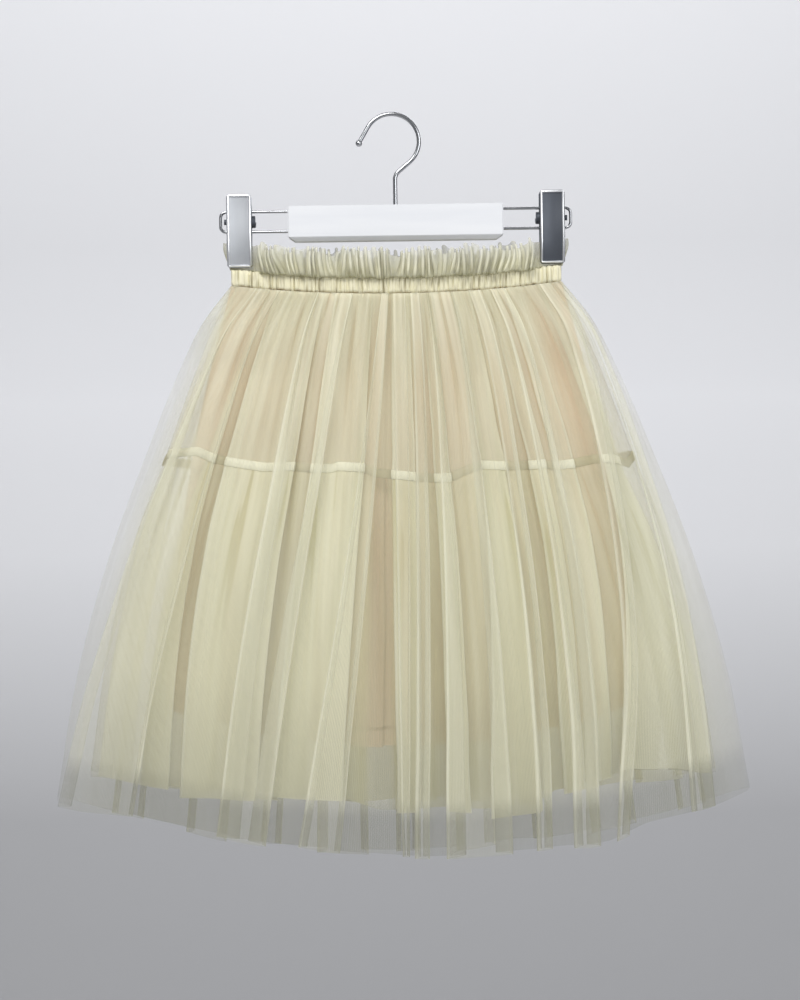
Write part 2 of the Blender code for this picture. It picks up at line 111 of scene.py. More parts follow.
LINING_LEVELS = (
    (WAIST_SEAM_Z, 0.009, 0.132, 0.012, 0.009, PINCHED, 0.0, 0.05),
    (-0.24, 0.012, 0.159, 0.021, 0.014, 1.5, 0.0, 0.45),
    (-0.355, 0.019, 0.178, 0.029, 0.017, 1.15, 0.0, 0.8),
    (-0.47, 0.03, 0.19, 0.034, 0.0195, 1.0, 0.0, 1.0),
)

# Flattened folds, seen from the front: where their edges lie at the top and at the hem and how
# far the cloth turns under them, in shares of the half width, how far each stands out, and
# how far its hem hangs
LOBE_COLUMNS = ("top_left", "top_right", "left", "right", "tuck_left", "tuck_right", "depth", "drop")
OUTER_FRONT = (
    (-0.85, -0.7, -0.975, -0.757, 0.03, 0.02, 0.007, 0.0006),
    (-0.47, -0.26, -0.518, -0.378, 0.062, 0.058, 0.012, 0.0012),
    (-0.088, -0.046, -0.293, -0.175, 0.025, 0.02, 0.01, 0.0009),
    (-0.02, 0.05, -0.004, 0.016, 0.009, 0.009, 0.008, 0.0006),
    (0.08, 0.13, 0.028, 0.07, 0.019, 0.02, 0.012, 0.0012),
    (0.18, 0.33, 0.113, 0.301, 0.06, 0.05, 0.011, 0.0015),
    (0.43, 0.49, 0.366, 0.413, 0.02, 0.022, 0.01, 0.0009),
    (0.56, 0.65, 0.469, 0.545, 0.034, 0.036, 0.012, 0.0012),
    (0.86, 0.93, 0.59, 0.626, 0.016, 0.017, 0.009, 0.0018),
    (0.955, 0.985, 0.8, 0.87, 0.026, 0.03, 0.007, -0.0009),
)
OUTER_BACK = (
    (-0.84, -0.76, -0.85, -0.76, 0.018, 0.02, 0.007, 0.002),
    (-0.62, -0.5, -0.64, -0.52, 0.026, 0.03, 0.01, 0.004),
    (-0.41, -0.34, -0.42, -0.36, 0.016, 0.02, 0.009, 0.001),
    (-0.24, -0.1, -0.26, -0.11, 0.034, 0.024, 0.011, 0.005),
    (-0.02, 0.05, -0.03, 0.04, 0.016, 0.022, 0.009, 0.002),
    (0.14, 0.26, 0.15, 0.27, 0.024, 0.036, 0.011, 0.004),
    (0.36, 0.42, 0.38, 0.44, 0.02, 0.018, 0.008, 0.001),
    (0.52, 0.66, 0.55, 0.68, 0.03, 0.026, 0.01, 0.004),
    (0.78, 0.86, 0.8, 0.88, 0.018, 0.014, 0.007, 0.002),
)
TIER_FRONT = (
    (-0.97, -0.765, -0.955, -0.73, 0.105, 0.095, 0.006, 0.002),
    (-0.725, -0.432, -0.694, -0.453, 0.115, 0.11, 0.011, 0.007),
    (-0.368, -0.143, -0.41, -0.19, 0.105, 0.095, 0.011, 0.003),
    (-0.03, 0.07, -0.02, 0.05, 0.033, 0.03, 0.008, 0.002),
    (0.147, 0.215, 0.133, 0.21, 0.036, 0.032, 0.008, 0.003),
    (0.338, 0.44, 0.265, 0.425, 0.076, 0.072, 0.011, 0.007),
    (0.538, 0.61, 0.49, 0.56, 0.034, 0.03, 0.008, 0.004),
    (0.645, 0.73, 0.6, 0.645, 0.02, 0.02, 0.008, 0.001),
    (0.853, 0.925, 0.666, 0.96, 0.14, 0.13, 0.009, -0.002),
)
TIER_BACK = (
    (-0.8, -0.64, -0.82, -0.65, 0.024, 0.03, 0.008, 0.002),
    (-0.54, -0.4, -0.56, -0.41, 0.03, 0.026, 0.01, 0.005),
    (-0.28, -0.12, -0.29, -0.13, 0.026, 0.034, 0.009, 0.002),
    (0.0, 0.1, 0.0, 0.11, 0.02, 0.022, 0.008, 0.004),
    (0.22, 0.4, 0.21, 0.4, 0.036, 0.03, 0.011, 0.006),
    (0.52, 0.62, 0.52, 0.63, 0.022, 0.02, 0.008, 0.002),
    (0.74, 0.88, 0.75, 0.9, 0.026, 0.02, 0.009, 0.003),
)
LINING_SOFT = (
    (-0.7, -0.5, -0.72, -0.52, 0.01, 0.01, 0.003, 0.001),
    (-0.24, -0.06, -0.26, -0.08, 0.01, 0.012, 0.004, 0.001),
    (0.2, 0.42, 0.18, 0.4, 0.012, 0.01, 0.004, 0.001),
    (0.62, 0.78, 0.64, 0.8, 0.01, 0.01, 0.003, 0.001),
)

# How far the front's tier seam rises from its even curve, by place across
SEAM_RISES = (
    (-0.188, 0.006), (-0.16, 0.011), (-0.146, 0.006), (-0.134, 0.0045),
    (-0.106, 0.002), (-0.081, 0.004), (-0.071, 0.003), (-0.052, 0.003),
    (-0.048, 0.005), (-0.028, 0.004), (-0.018, 0.0), (0.0, -0.002),
    (0.028, -0.005), (0.04, -0.005), (0.064, 0.004), (0.083, 0.002),
    (0.101, 0.001), (0.115, 0.001), (0.122, -0.001), (0.137, -0.001),
    (0.158, 0.001), (0.172, -0.001), (0.18, -0.006), (0.188, -0.007),
)
# How far the front hems rise from their even curves, by place across
TIER_HEM_RISES = (
    (-0.25, 0.005), (-0.178, 0.008), (-0.116, 0.012), (-0.05, 0.011),
    (-0.02, 0.0), (0.106, 0.0), (0.118, 0.008), (0.178, 0.015),
    (0.215, 0.008), (0.25, -0.003),
)
OUTER_HEM_RISES = (
    (-0.277, -0.003), (-0.212, 0.009), (-0.142, 0.008), (-0.104, 0.004),
    (-0.046, 0.005), (0.026, 0.001), (0.09, 0.0), (0.162, -0.005),
    (0.19, 0.0), (0.277, 0.0),
)
# Where the lower tier's folds part and the lining shows: place across, half width and strength; there the
# tier thins and is painted in its shaded tint
GAP_PLACE = -0.074
GAP_HALF_WIDTH = 0.044
GAP_STRENGTH = 1.9

# The frill along its own length: height as a share of its own, how far it leans out, and the
# depth, loop and widening of its waves
FRILL_COLUMNS = ("along", "rise", "lean", "wave", "loop", "widen")
FRILL_PATH = (
    (0.0, 0.04, 0.0036, 0.0006, 0.0, 0.0),
    (0.08, -0.05, 0.0052, 0.0012, 0.06, 0.0),
    (0.18, -0.04, 0.0072, 0.0028, 0.14, 0.001),
    (0.32, 0.12, 0.0082, 0.0044, 0.22, 0.002),
    (0.52, 0.38, 0.0076, 0.0052, 0.26, 0.004),
    (0.76, 0.7, 0.006, 0.0054, 0.28, 0.006),
    (1.0, 1.0, 0.0042, 0.0052, 0.28, 0.006),
)
# The casing's section, in shares of its wall and height, and how far its gathers move it
CASING_COLUMNS = ("out", "down", "rib")
CASING_PATH = (
    (0.0, 0.92, 0.0),
    (0.0, 0.5, 0.0),
    (0.0, 0.1, 0.0),
    (0.35, 0.0, 0.2),
    (0.78, 0.05, 0.6),
    (0.98, 0.22, 1.0),
    (1.02, 0.42, 1.0),
    (0.98, 0.62, 1.0),
    (1.0, 0.82, 1.0),
    (0.8, 0.95, 0.7),
    (0.35, 1.0, 0.2),
    (0.0, 0.92, 0.0),
)
# A waist panel's ruffles, and their uneven widths as waves of strength, turn and start
RUFFLES = 48
RUFFLE_STEPS = 12
RUFFLE_WIDTHS = ((0.38, 1.9, 0.0), (0.26, 4.3, 1.0))
FRILL_ROWS = 19
# The gathers of the casing and the waves of the frill
CASING_LEAN = 0.22
CASING_RIB = 0.002
CASING_FINE = 0.25
CASING_WAVE = 0.0007
CASING_PULL = 0.0018
FRILL_DRIFT = 0.8
FRILL_SIZES = 0.6
FRILL_HEIGHTS = 0.17
FRILL_CRESTS = 0.1
FRILL_LOOP = 2.2
FRILL_SAG = 0.0016

# The seam tape's section: place from its lower edge, -1, to its upper one, and lift off the cloth
TAPE_PATH = (
    (-0.8, 0.0002), (0.0, 0.0002), (0.8, 0.0002),
    (1.0, 0.0003), (0.92, 0.0006), (0.0, 0.0007),
    (-0.92, 0.0006), (-1.0, 0.0003), (-0.8, 0.0002),
)

# Camera: the picture's scale at the hanger's plane, and its place over it
PIXEL = 0.0008
FRAME_HEIGHT_PX = 1000
CAMERA_DISTANCE = 2.3
CAMERA_X = 0.0004
CAMERA_Z = -0.307
CAMERA_ROLL = math.radians(0.8)
SENSOR_MM = 36.0

WALL_Y = 3.9
ROOM_BEND = 1.4
ROOM_HALF_WIDTH = 7.0
ROOM_TOP = 4.0
# The backdrop's tone by height: a pale floor, then painted shade that darkens it low on the wall, as in
# the photograph
BACKDROP_SHADE_TONES = (
    (-1.45, 0.66), (-1.3, 0.4), (-0.954, 0.45), (-0.738, 0.61),
    (-0.415, 0.84), (-0.09, 0.92), (0.25, 0.82),
)
WALL_BLUE = 1.02
WORLD_TINT = (0.95, 0.97, 1.0, 1.0)
WORLD_STRENGTH = 0.275
# Soft lights: name, place, aim, size, power and tint
LIGHTS = (
    ("key", (-0.5, -1.1, 0.95), (0, 0, -0.15), (1.0, 0.7), 21, (1.0, 0.99, 0.97)),
    ("fill", (1.2, -1.7, 0.1), (0, 0, -0.35), (1.2, 1.2), 17, (0.98, 0.99, 1.0)),
    ("behind", (0.7, 1.9, 0.7), (0, 0, -0.3), (1.2, 1.0), 8, (0.98, 0.99, 1.0)),
    ("wall_top", (0.0, 1.6, 2.6), (0.0, 3.9, 0.4), (4.0, 1.0), 86, (0.97, 0.98, 1.0)),
)

# Steps, the share of the half width that one across flat cloth spans, and a fold's flank
CURVE_STEPS = 240
TURN_STEPS = 3
FLANK_STEPS = 4
ARC_STEPS = 12
FACE_STEP = 0.011
LEAST_STEPS = 4
SMOOTHING_PASSES = 3
FLANK_LOW = 0.28
FLANK_HIGH = 0.68
FOOT_MARK = 0.4
# The shares beside a side seam where folds and gathers calm down and edges lose their marks
SEAM_CALM = 0.06
GATHER_CALM = 0.25
MARK_FADE = (0.02, 0.16)
WANDER = 0.006
RAISED_HEIGHT = 0.01
LEAST_OPENING = 0.2
# Added to places behind, so that a material can tell back from front
BACK_PLACE = 4.0
SHARPEST_BEND = 900.0
SHORTEST_BEND = 3e-4
TINY = 1e-9
# Waves of small folds: count across a panel, depth, where they are deepest, and spread
OUTER_GATHERS = ((34, 0.003, 0.0, 0.12), (21, 0.004, 0.14, 0.2), (9, 0.0026, 0.5, 0.5))
UPPER_GATHERS = ((30, 0.0008, 0.0, 0.25), (17, 0.0024, 0.5, 0.5), (9, 0.002, 0.9, 0.5))
LOWER_GATHERS = ((17, 0.0016, 0.1, 0.4), (40, 0.0012, 0.0, 0.12), (9, 0.0026, 0.7, 0.6))
LINING_GATHERS = ((22, 0.0002, 0.0, 0.3), (7, 0.0016, 0.7, 0.5))
# How the seam's rises fade, and the weights that tell which way is out
SEAM_FADE_ABOVE = 4
SEAM_FADE_BELOW = 6
SEAM_FRONT_DEPTH = 0.008
OUTWARD_TEST = (0.05, 1, 0)

# The noise's range for crisp streaks and for soft clouds
CRISP = (0.36, 0.64)
SOFT = (0.3, 0.7)
# The size of the net's holes, and the levels of its waves across a thread
NET_CELL = 0.0009
THREAD_LEVELS = (-1.1, 0.4)
# The lining's stitch line, in shares down the cloth
STITCH_PLACE = 0.962
STITCH_REACH = 0.004
# Over these raised heights the tape goes from thin and painted in shade to full
TAPE_RAISED = (0.2, 0.7)
# The net's streaks across and down a panel, and the noise that makes a crease of painted shade
BROAD_STREAKS = (9.0, 0.9)
FINE_STREAKS = (34.0, 1.6)
BROAD_SHARE = 0.55
SHADED_CREASE_RANGE = (0.36, 0.41)
# How streaks and the creases' painted shade fade down the cloth: from, to, and the strength at each
STREAK_FADE = (0.0, 0.9, 1.0, 0.25)
SHADED_CREASE_FADE = (0.0, 0.5, 0.7, 0.0)
# How much of the nets' end tone, painted shade at a hem and painted light at the frill's top, is kept on
# back panels and on raised folds
PAINTED_END_BEHIND = 0.35
PAINTED_END_RAISED = 0.62

# The hook and the wires
CROWN_STEPS = 60
BALL_ANGLES = range(85, -51, -9)
SHANK_DEPTH = 0.017
WIRE_HOLD = 0.012
# A jaw's plate: rolled edges, narrowing ends, and a step down to a sunk middle
PLATE_ROWS = 34
PLATE_ROLL = 0.0014
PLATE_NARROWING = 0.0016
PLATE_TURNS = (0.5, 1.1)
PLATE_RIDGE = 0.003
PLATE_STEP = 0.0036
PLATE_SINK = 0.0004
FLANGE_EDGE = 0.001
RIM_INSET = 0.0014
RIM_END_INSET = 0.0012
RIM_CORNER = 0.001
RIM_CORNER_STEPS = 3
RIM_STRAIGHT = 0.003
RIM_SINK = 0.0001
RIM_RADIUS = 0.0009
RIM_STEPS = 18
PIN_REACH = CLIP_HALF_WIDTH + 0.0022
PIN_RADIUS = 0.0022
COIL_START = CLIP_HALF_WIDTH - 0.0005
COIL_STEPS = 16
COIL_PITCH = 0.00062
COIL_RADIUS = 0.0042
COIL_WIRE = 0.0007
FINE_SIDES = 8


def rows_of(columns, table):
    """The table's rows as dictionaries."""
    return [dict(zip(columns, row)) for row in table]


def mix(a, b, t):
    return a + (b - a) * t


def smooth_step(low, high, value):
    t = np.clip((value - low) / (high - low), 0.0, 1.0)
    return t * t * (3 - 2 * t)


def eased(places, values, at):
    """A smooth curve through the values, with no overshoot between level neighbours."""
    places = np.asarray(places, float)
    values = np.asarray(values, float)
    slopes = np.diff(values) / np.diff(places)
    tangents = np.concatenate([[slopes[0]], (slopes[:-1] + slopes[1:]) / 2, [slopes[-1]]])
    n = np.clip(np.searchsorted(places, at, side="right") - 1, 0, len(places) - 2)
    width = places[n + 1] - places[n]
    t = (at - places[n]) / width
    first = values[n] * (1 + 2 * t) * (1 - t) ** 2 + width * tangents[n] * t * (1 - t) ** 2
    second = values[n + 1] * t * t * (3 - 2 * t) - width * tangents[n + 1] * t * t * (1 - t)
    return first + second


def uneven(values, seed, octaves=4):
    """A smooth uneven wave of about -1 to 1, different for each seed."""
    total = np.zeros_like(np.asarray(values, float))
    for k in range(octaves):
        turn = 1.0 + 0.83 * k
        inner = 0.9 * np.sin(values * turn * 0.41 + seed)
        total += np.sin(values * turn + seed * (1.7 + k) + inner) / (1.2 + k)
    return total / 1.7


class Outline:
    """Half of a tube's rounded section, from side seam to side seam, measured along itself."""

    def __init__(self, half_width, depth, roundness):
        angle = np.linspace(0.0, math.pi, CURVE_STEPS + 1)
        sine = np.sin(angle)
        sine[-1] = 0.0
        self.x = -half_width * np.cos(angle)
        self.out = depth * sine**roundness
        self.middle = sine**2
        step = np.hypot(np.diff(self.x), np.diff(self.out))
        self.run = np.concatenate([[0.0], np.cumsum(step)])
        self.length = self.run[-1]
        tangent_x = np.gradient(self.x, self.run)
        tangent_out = np.gradient(self.out, self.run)
        size = np.hypot(tangent_x, tangent_out)
        self.normal_x = -tangent_out / size
        self.normal_out = tangent_x / size
        self.half_width = half_width

    def at(self, run, height):
        x = np.interp(run, self.run, self.x) + np.interp(run, self.run, self.normal_x) * height
        out = np.interp(run, self.run, self.out) + np.interp(run, self.run, self.normal_out) * height
        return x, out, np.interp(run, self.run, self.middle)

    def run_of(self, share):
        """The run at a share of the half width, from -1 to 1."""
        return np.interp(share, self.x / self.half_width, self.run)


def steps_across(share):
    """The number of steps across flat cloth that spans a share of the half width."""
    return max(LEAST_STEPS, round(share / FACE_STEP))


def lobes_of(table, straight):
    """The folds of a table, each with its steps across its face and across the cloth beside it.

    Straight folds keep their top's places all the way down."""
    lobes = rows_of(LOBE_COLUMNS, table)
    last = -1.0
    for lobe in lobes:
        lobe["steps_before"] = steps_across(lobe["left"] - last)
        lobe["face_steps"] = steps_across(lobe["right"] - lobe["left"])
        last = lobe["right"]
        lobe["steps_after"] = steps_across(1.0 - last)
        if straight:
            lobe["left"], lobe["right"] = lobe["top_left"], lobe["top_right"]
    return lobes


def run_to(last, place, raised, steps, edge=0.0, hang=0.0):
    """The points from the last corner to the next one: share, height, mark and hang."""
    t = np.arange(1, steps + 1) / steps
    marks = [np.full(steps, value) for value in (edge, hang)]
    return np.array([mix(last[0], place, t), mix(last[1], raised, t), *marks])


def smoothed(values):
    """The values evened out along a row, with its ends kept."""
    for _ in range(SMOOTHING_PASSES):
        values[1:-1] = (values[:-2] + 2 * values[1:-1] + values[2:]) / 4
    return values


def profile(lobes, fall, opened):
    """One level of a folded panel: flattened folds with the cloth turned under their edges.

    Each point has its share of the half width, its height, how strongly it is marked as a
    fold's edge, and how far it hangs below the plain hem."""
    runs = [np.array([[-1.0], [0.0], [0.0], [0.0]])]
    last = (-1.0, 0.0)
    for lobe in lobes:
        left = mix(lobe["top_left"], lobe["left"], fall)
        right = mix(lobe["top_right"], lobe["right"], fall)
        tuck_left = lobe["tuck_left"] * opened
        tuck_right = lobe["tuck_right"] * opened
        depth = lobe["depth"] * opened
        corners = (
            (left + tuck_left, 0.0, lobe["steps_before"], 0.0),
            (left + tuck_left, FLANK_LOW * depth, TURN_STEPS, FOOT_MARK),
            (left, FLANK_HIGH * depth, FLANK_STEPS, 0.0),
            (left, depth, TURN_STEPS, 1.0),
            (right, depth, lobe["face_steps"], 0.0),
            (right, FLANK_HIGH * depth, TURN_STEPS, 1.0),
            (right - tuck_right, FLANK_LOW * depth, FLANK_STEPS, 0.0),
            (right - tuck_right, 0.0, TURN_STEPS, FOOT_MARK),
        )
        for place, raised, steps, edge in corners:
            hang = lobe["drop"] if raised > depth / 2 else 0.0
            runs.append(run_to(last, place, raised, steps, edge, hang))
            last = (place, raised)
    runs.append(run_to(last, 1.0, 0.0, lobes[-1]["steps_after"]))
    share, height, mark, hang = np.concatenate(runs, axis=1)
    return smoothed(share), smoothed(height), mark, smoothed(hang)


def drape(levels, front, back, rows, seed, gathers, hem_wave=0.0, hem_rises=((0, 0),), back_drop=0.0,
          straight=False):
    """The points of a gathered tube, row by row and all round, with their marks and places.

    A mark is how near a point is to a fold's edge. A place is its share across the panel and
    how far it is raised."""
    levels = rows_of(LEVEL_COLUMNS, levels)
    falls = np.linspace(0.0, 1.0, rows)
    zs = mix(levels[0]["z"], levels[-1]["z"], falls)
    places = [-level["z"] for level in levels]
    at = {key: eased(places, [level[key] for level in levels], -zs) for key in LEVEL_COLUMNS[1:]}
    rings = []
    for n, fall in enumerate(falls):
        ring = []
        for side, table in ((-1, front), (1, back)):
            depth = at["front_depth"][n] if side < 0 else at["back_depth"][n]
            outline = Outline(at["half_width"][n], depth, at["roundness"][n])
            share, height, mark, hang = profile(lobes_of(table, straight), fall, at["folds"][n])
            fade = np.clip((1 - np.abs(share)) / SEAM_CALM, 0.0, 1.0)
            share = share + WANDER * fall * fade * uneven(fall * 5 + share * 3, seed + side)
            raised = np.clip(height / (RAISED_HEIGHT * max(at["folds"][n], LEAST_OPENING)), 0.0, 1.0)
            height = height * (1.0 if side < 0 else BACK_FOLD_SHARE)
            inner = 1 - np.abs(share)
            calm = smooth_step(0.0, GATHER_CALM, inner)
            for count, deep, centre, spread in gathers:
                strength = deep * math.exp(-(((fall - centre) / spread) ** 2))
                phase = share * count * math.pi + 1.3 * uneven(share * count * 0.5, seed + count)
                phase = phase + 0.8 * uneven(fall * 4 + share * 2, seed * 2 + count)
                size = 0.75 + 0.25 * uneven(share * 9, seed)
                height = height + strength * calm * (0.5 + 0.5 * np.sin(phase)) * size
            x, out, middle = outline.at(outline.run_of(np.clip(share, -1, 1)), height)
            wave = hem_wave * fall**3 * uneven(share * 7, seed * 3 + side) * fade
            z = zs[n] - at["droop"][n] * middle + wave - hang * fall**3 * (hem_wave > 0)
            if side < 0:
                z = z + np.interp(x, *np.transpose(hem_rises)) * fall**4
            else:
                z = z - back_drop * middle * fall**3
            y = side * (out + at["stack"][n] + SEAM_GAP / 2)
            mark = mark * smooth_step(*MARK_FADE, inner) * (0.5 + 0.5 * fall)
            panel = np.stack([x, y, z, mark, share + BACK_PLACE * (side > 0), raised], axis=1)
            ring.append(panel if side < 0 else panel[::-1])
        rings.append(np.concatenate(ring))
    rings = np.array(rings)
    return rings[..., :3], rings[..., 3], rings[..., 4:]


def bend_of(grid):
    """How sharply the cloth turns across each point, from 0 on a flat face to 1 on a fold's edge."""
    step = grid - np.roll(grid, 1, axis=1)
    size = np.linalg.norm(step, axis=2)
    before = step / np.maximum(size, TINY)[..., None]
    after = np.roll(before, -1, axis=1)
    turn = np.arccos(np.clip((before * after).sum(axis=2), -1, 1))
    length = (size + np.roll(size, -1, axis=1)) / 2
    return np.clip(turn / np.maximum(length, SHORTEST_BEND) / SHARPEST_BEND, 0.0, 1.0)


def placed(name, data):
    """A new object in the scene."""
    made = bpy.data.objects.new(name, data)
    scene.collection.objects.link(made)
    return made


def grid_piece(name, grid, material, edge, share=None, closed=True):
    """A smooth sheet from a grid of points, with its real lengths as UVs.

    It keeps two attributes for its material: its fold edges, and each point's place across
    the panel, down it and out of it, so that streaks and shade can follow the folds."""
    rows, columns = grid.shape[:2]
    across = columns if closed else columns - 1
    index = np.arange(rows * columns).reshape(rows, columns)
    following = np.roll(index, -1, axis=1)
    a, b = index[:-1, :across], following[:-1, :across]
    c, d = following[1:, :across], index[1:, :across]
    faces = np.stack([a, d, c, b], axis=2).reshape(-1, 4)
    mesh = bpy.data.meshes.new(name)
    mesh.from_pydata(grid.reshape(-1, 3).tolist(), [], faces.tolist())
    step = np.linalg.norm(np.diff(grid, axis=1), axis=2).mean(axis=0)
    u = np.concatenate([[0.0], np.cumsum(step)])
    fall = np.linalg.norm(np.diff(grid, axis=0), axis=2).mean(axis=1)
    v = np.concatenate([[0.0], np.cumsum(fall)])
    uv = np.stack(np.broadcast_arrays(u[None, :], v[:, None]), axis=2).reshape(-1, 2)
    corners = uv[faces.reshape(-1)].reshape(-1, 4, 2)
    wraps = np.tile(np.arange(across) == columns - 1, rows - 1)
    wrapped = corners[wraps, 2:4, 0]
    corners[wraps, 2:4, 0] = np.where(wrapped < u[-1] / 2, u[-1] + step.mean(), wrapped)
    mesh.uv_layers.new(name="cloth").data.foreach_set("uv", corners.reshape(-1))
    mesh.attributes.new("fold_edge", "FLOAT", "POINT").data.foreach_set("value", edge.reshape(-1))
    if share is None:
        share = np.zeros((rows, columns, 2))
        share[..., 0] = np.linspace(-1, 1, columns)
    down = np.broadcast_to(np.linspace(0, 1, rows)[:, None], (rows, columns))
    place = np.stack([share[..., 0], down, share[..., 1]], axis=2).reshape(-1)
    mesh.attributes.new("cloth_place", "FLOAT_VECTOR", "POINT").data.foreach_set("vector", place)
    mesh.shade_smooth()
    mesh.materials.append(material)
    return placed(name, mesh)


class Nodes:
    """Short calls for building a material's node tree."""

    def __init__(self, name):
        self.material = bpy.data.materials.new(name)
        self.material.use_nodes = True
        self.tree = self.material.node_tree
        self.shader = self.tree.nodes["Principled BSDF"]

    def put(self, socket, value):
        if isinstance(value, bpy.types.NodeSocket):
            self.tree.links.new(value, socket)
        else:
            socket.default_value = value

    def add(self, kind, inputs=(), **settings):
        """A new node. inputs has its values and links by their sockets' names or numbers."""
        node = self.tree.nodes.new("ShaderNode" + kind)
        for key, value in settings.items():
            setattr(node, key, value)
        for key, value in dict(inputs).items():
            self.put(node.inputs[key], value)
        return node

    def give(self, kind, inputs=(), output=0, **settings):
        return self.add(kind, inputs, **settings).outputs[output]

    def math(self, operation, a, b=0.0, clamp=False):
        return self.give("Math", {0: a, 1: b}, operation=operation, use_clamp=clamp)

    def times(self, a, b):
        return self.math("MULTIPLY", a, b)

    def total(self, first, *others):
        for value in others:
            first = self.math("ADD", first, value)
        return first

    def remap(self, value, low, high, to_low, to_high):
        return self.give("MapRange", enumerate((value, low, high, to_low, to_high)))

    def blend(self, share, a, b):
        return self.give("Mix", {"Factor": share, 6: a, 7: b}, 2, data_type="RGBA")

    def attribute(self, name, output):
        return self.give("Attribute", output=output, attribute_name=name)

    def cloth_uv(self):
        return self.give("UVMap", uv_map="cloth")

    def cloth_place(self):
        """A point's place: across the panel, down it and how far it is raised."""
        return self.add("SeparateXYZ", {"Vector": self.attribute("cloth_place", "Vector")}).outputs

    def object_place(self):
        return self.give("TexCoord", output="Object")

    def stretched(self, place, scale, shift=(0, 0, 0)):
        return self.give("Mapping", {"Vector": place, "Scale": scale, "Location": shift})

    def noise(self, place, scale, detail):
        return self.give("TexNoise", {"Vector": place, "Scale": scale, "Detail": detail})

    def bands(self, place, direction, scale):
        inputs = {"Vector": place, "Scale": scale}
        return self.give("TexWave", inputs, "Fac", wave_type="BANDS", bands_direction=direction)

    def bump(self, height, distance, strength):
        normal = self.give("Bump", {"Height": height, "Distance": distance, "Strength": strength})
        self.put(self.shader.inputs["Normal"], normal)

    def surface(self, **values):
        for key, value in values.items():
            self.put(self.shader.inputs[key.replace("_", " ")], value)
        return self.material


def color(r, g, b):
    return (r, g, b, 1.0)


def streaks(n, across, down, seed):
    """Noise drawn out down the cloth, so that it follows the folds."""
    place = n.attribute("cloth_place", "Vector")
    return n.noise(n.stretched(place, (across, down, 0), (seed, seed, 0)), scale=1.0, detail=1.0)


def threads_of(n, uv):
    """The net's threads: bright lines round six-sided holes."""
    cloth = n.add("SeparateXYZ", {"Vector": uv}).outputs
    turn = 2 * math.pi / NET_CELL
    along = n.times(cloth["X"], turn)
    half = n.times(along, 0.5)
    down = n.times(cloth["Y"], turn * math.sqrt(3) / 2)
    waves = [n.math("COSINE", way) for way in (along, n.math("SUBTRACT", down, half), n.total(down, half))]
    return n.remap(n.total(*waves), *THREAD_LEVELS, 1.0, 0.0)


def net_material(name, tint, lit, hole, thread, edge_gain, gather, seed, raise_alpha=0.0, raise_shade=0.55,
                 top=0.0, crumple=0.0, end=(0.0, 1.0, 0.0), end_painted_tone=(0.2, 0.2, 0.165), thin_end=0.0,
                 sides=(0.9, 0.0, 0.0)):
    """Fine net: see-through, and fuller at fold edges, on raised folds and in its gathers.

    Its colour carries painted light and shade: tint is its painted shaded colour, lit its
    painted lit colour, and fold edges, raised folds and gathered streaks are painted lighter,
    creases darker. hole, thread, edge_gain, gather, raise_alpha and top are the fullness of
    each. end gives where its last tone begins and is full, and how strong it is; that tone is
    painted shade at a hem and painted light at the frill's top. sides gives where it begins
    to thin towards its side seams, by how much, and how much painted light pales it there."""
    n = Nodes(name)
    edge = n.attribute("fold_edge", "Fac")
    across, down, raised = n.cloth_place()
    aside = n.math("ABSOLUTE", n.math("SUBTRACT", across, BACK_PLACE))
    aside = n.math("MINIMUM", n.math("ABSOLUTE", across), aside)
    begins, ends, strength = end
    thins_from, thinning, side_lighting = sides
    noise = streaks(n, *FINE_STREAKS, seed + 3)
    fine = n.remap(noise, *CRISP, -1.0, 1.0)
    broad = n.remap(streaks(n, *BROAD_STREAKS, seed), *CRISP, -1.0, 1.0)
    bunch_and_light = n.total(n.times(broad, BROAD_SHARE), n.times(fine, 1 - BROAD_SHARE))
    bunch_and_light = n.times(bunch_and_light, n.times(n.remap(down, *STREAK_FADE), gather))
    # Painted shade: dark creases, which also thin the net a little.
    shaded_crease = n.times(n.remap(noise, *SHADED_CREASE_RANGE, 1.0, 0.0), n.remap(down, *SHADED_CREASE_FADE))
    threads = n.times(threads_of(n, n.cloth_uv()), thread)
    waist = n.remap(down, 0.0, 0.16, top, 0.0)
    full = n.total(threads, hole, n.times(edge, edge_gain), n.times(raised, raise_alpha), bunch_and_light, waist)
    full = n.math("SUBTRACT", full, n.remap(down, begins, ends, 0.0, thin_end))
    full = n.math("SUBTRACT", full, n.remap(aside, thins_from, 1.0, 0.0, thinning))
    full = n.math("SUBTRACT", full, n.times(shaded_crease, 0.12), clamp=True)
    # Painted light: the net is painted paler towards its side seams.
    side_light = n.remap(aside, thins_from, 1.0, 0.0, side_lighting)
    # shade mixes the painted shaded tint towards the painted lit colour: fold edges, raised folds,
    # gathered streaks and the paler sides paint it lighter, creases darker.
    shade = n.total(n.times(bunch_and_light, 2.2), n.times(edge, 0.8), n.times(raised, raise_shade), side_light)
    shade = n.math("ADD", n.math("SUBTRACT", shade, shaded_crease), 0.1, clamp=True)
    tone = n.blend(shade, color(*tint), color(*lit))
    # Painted end tone: painted shade darkens a hem, painted light brightens the frill's top; weaker on
    # back panels and raised folds.
    behind = n.math("GREATER_THAN", across, BACK_PLACE / 2)
    last = n.times(n.remap(down, begins, ends, 0.0, strength), n.remap(behind, 0.0, 1.0, 1.0, PAINTED_END_BEHIND))
    last = n.times(last, n.remap(raised, 0.0, 1.0, 1.0, PAINTED_END_RAISED))
    tone = n.blend(last, tone, color(*end_painted_tone))
    if crumple:
        n.bump(n.times(fine, crumple), distance=0.0006, strength=0.4)
    return n.surface(Base_Color=tone, Alpha=full, Roughness=0.9, Specular_IOR_Level=0.0)


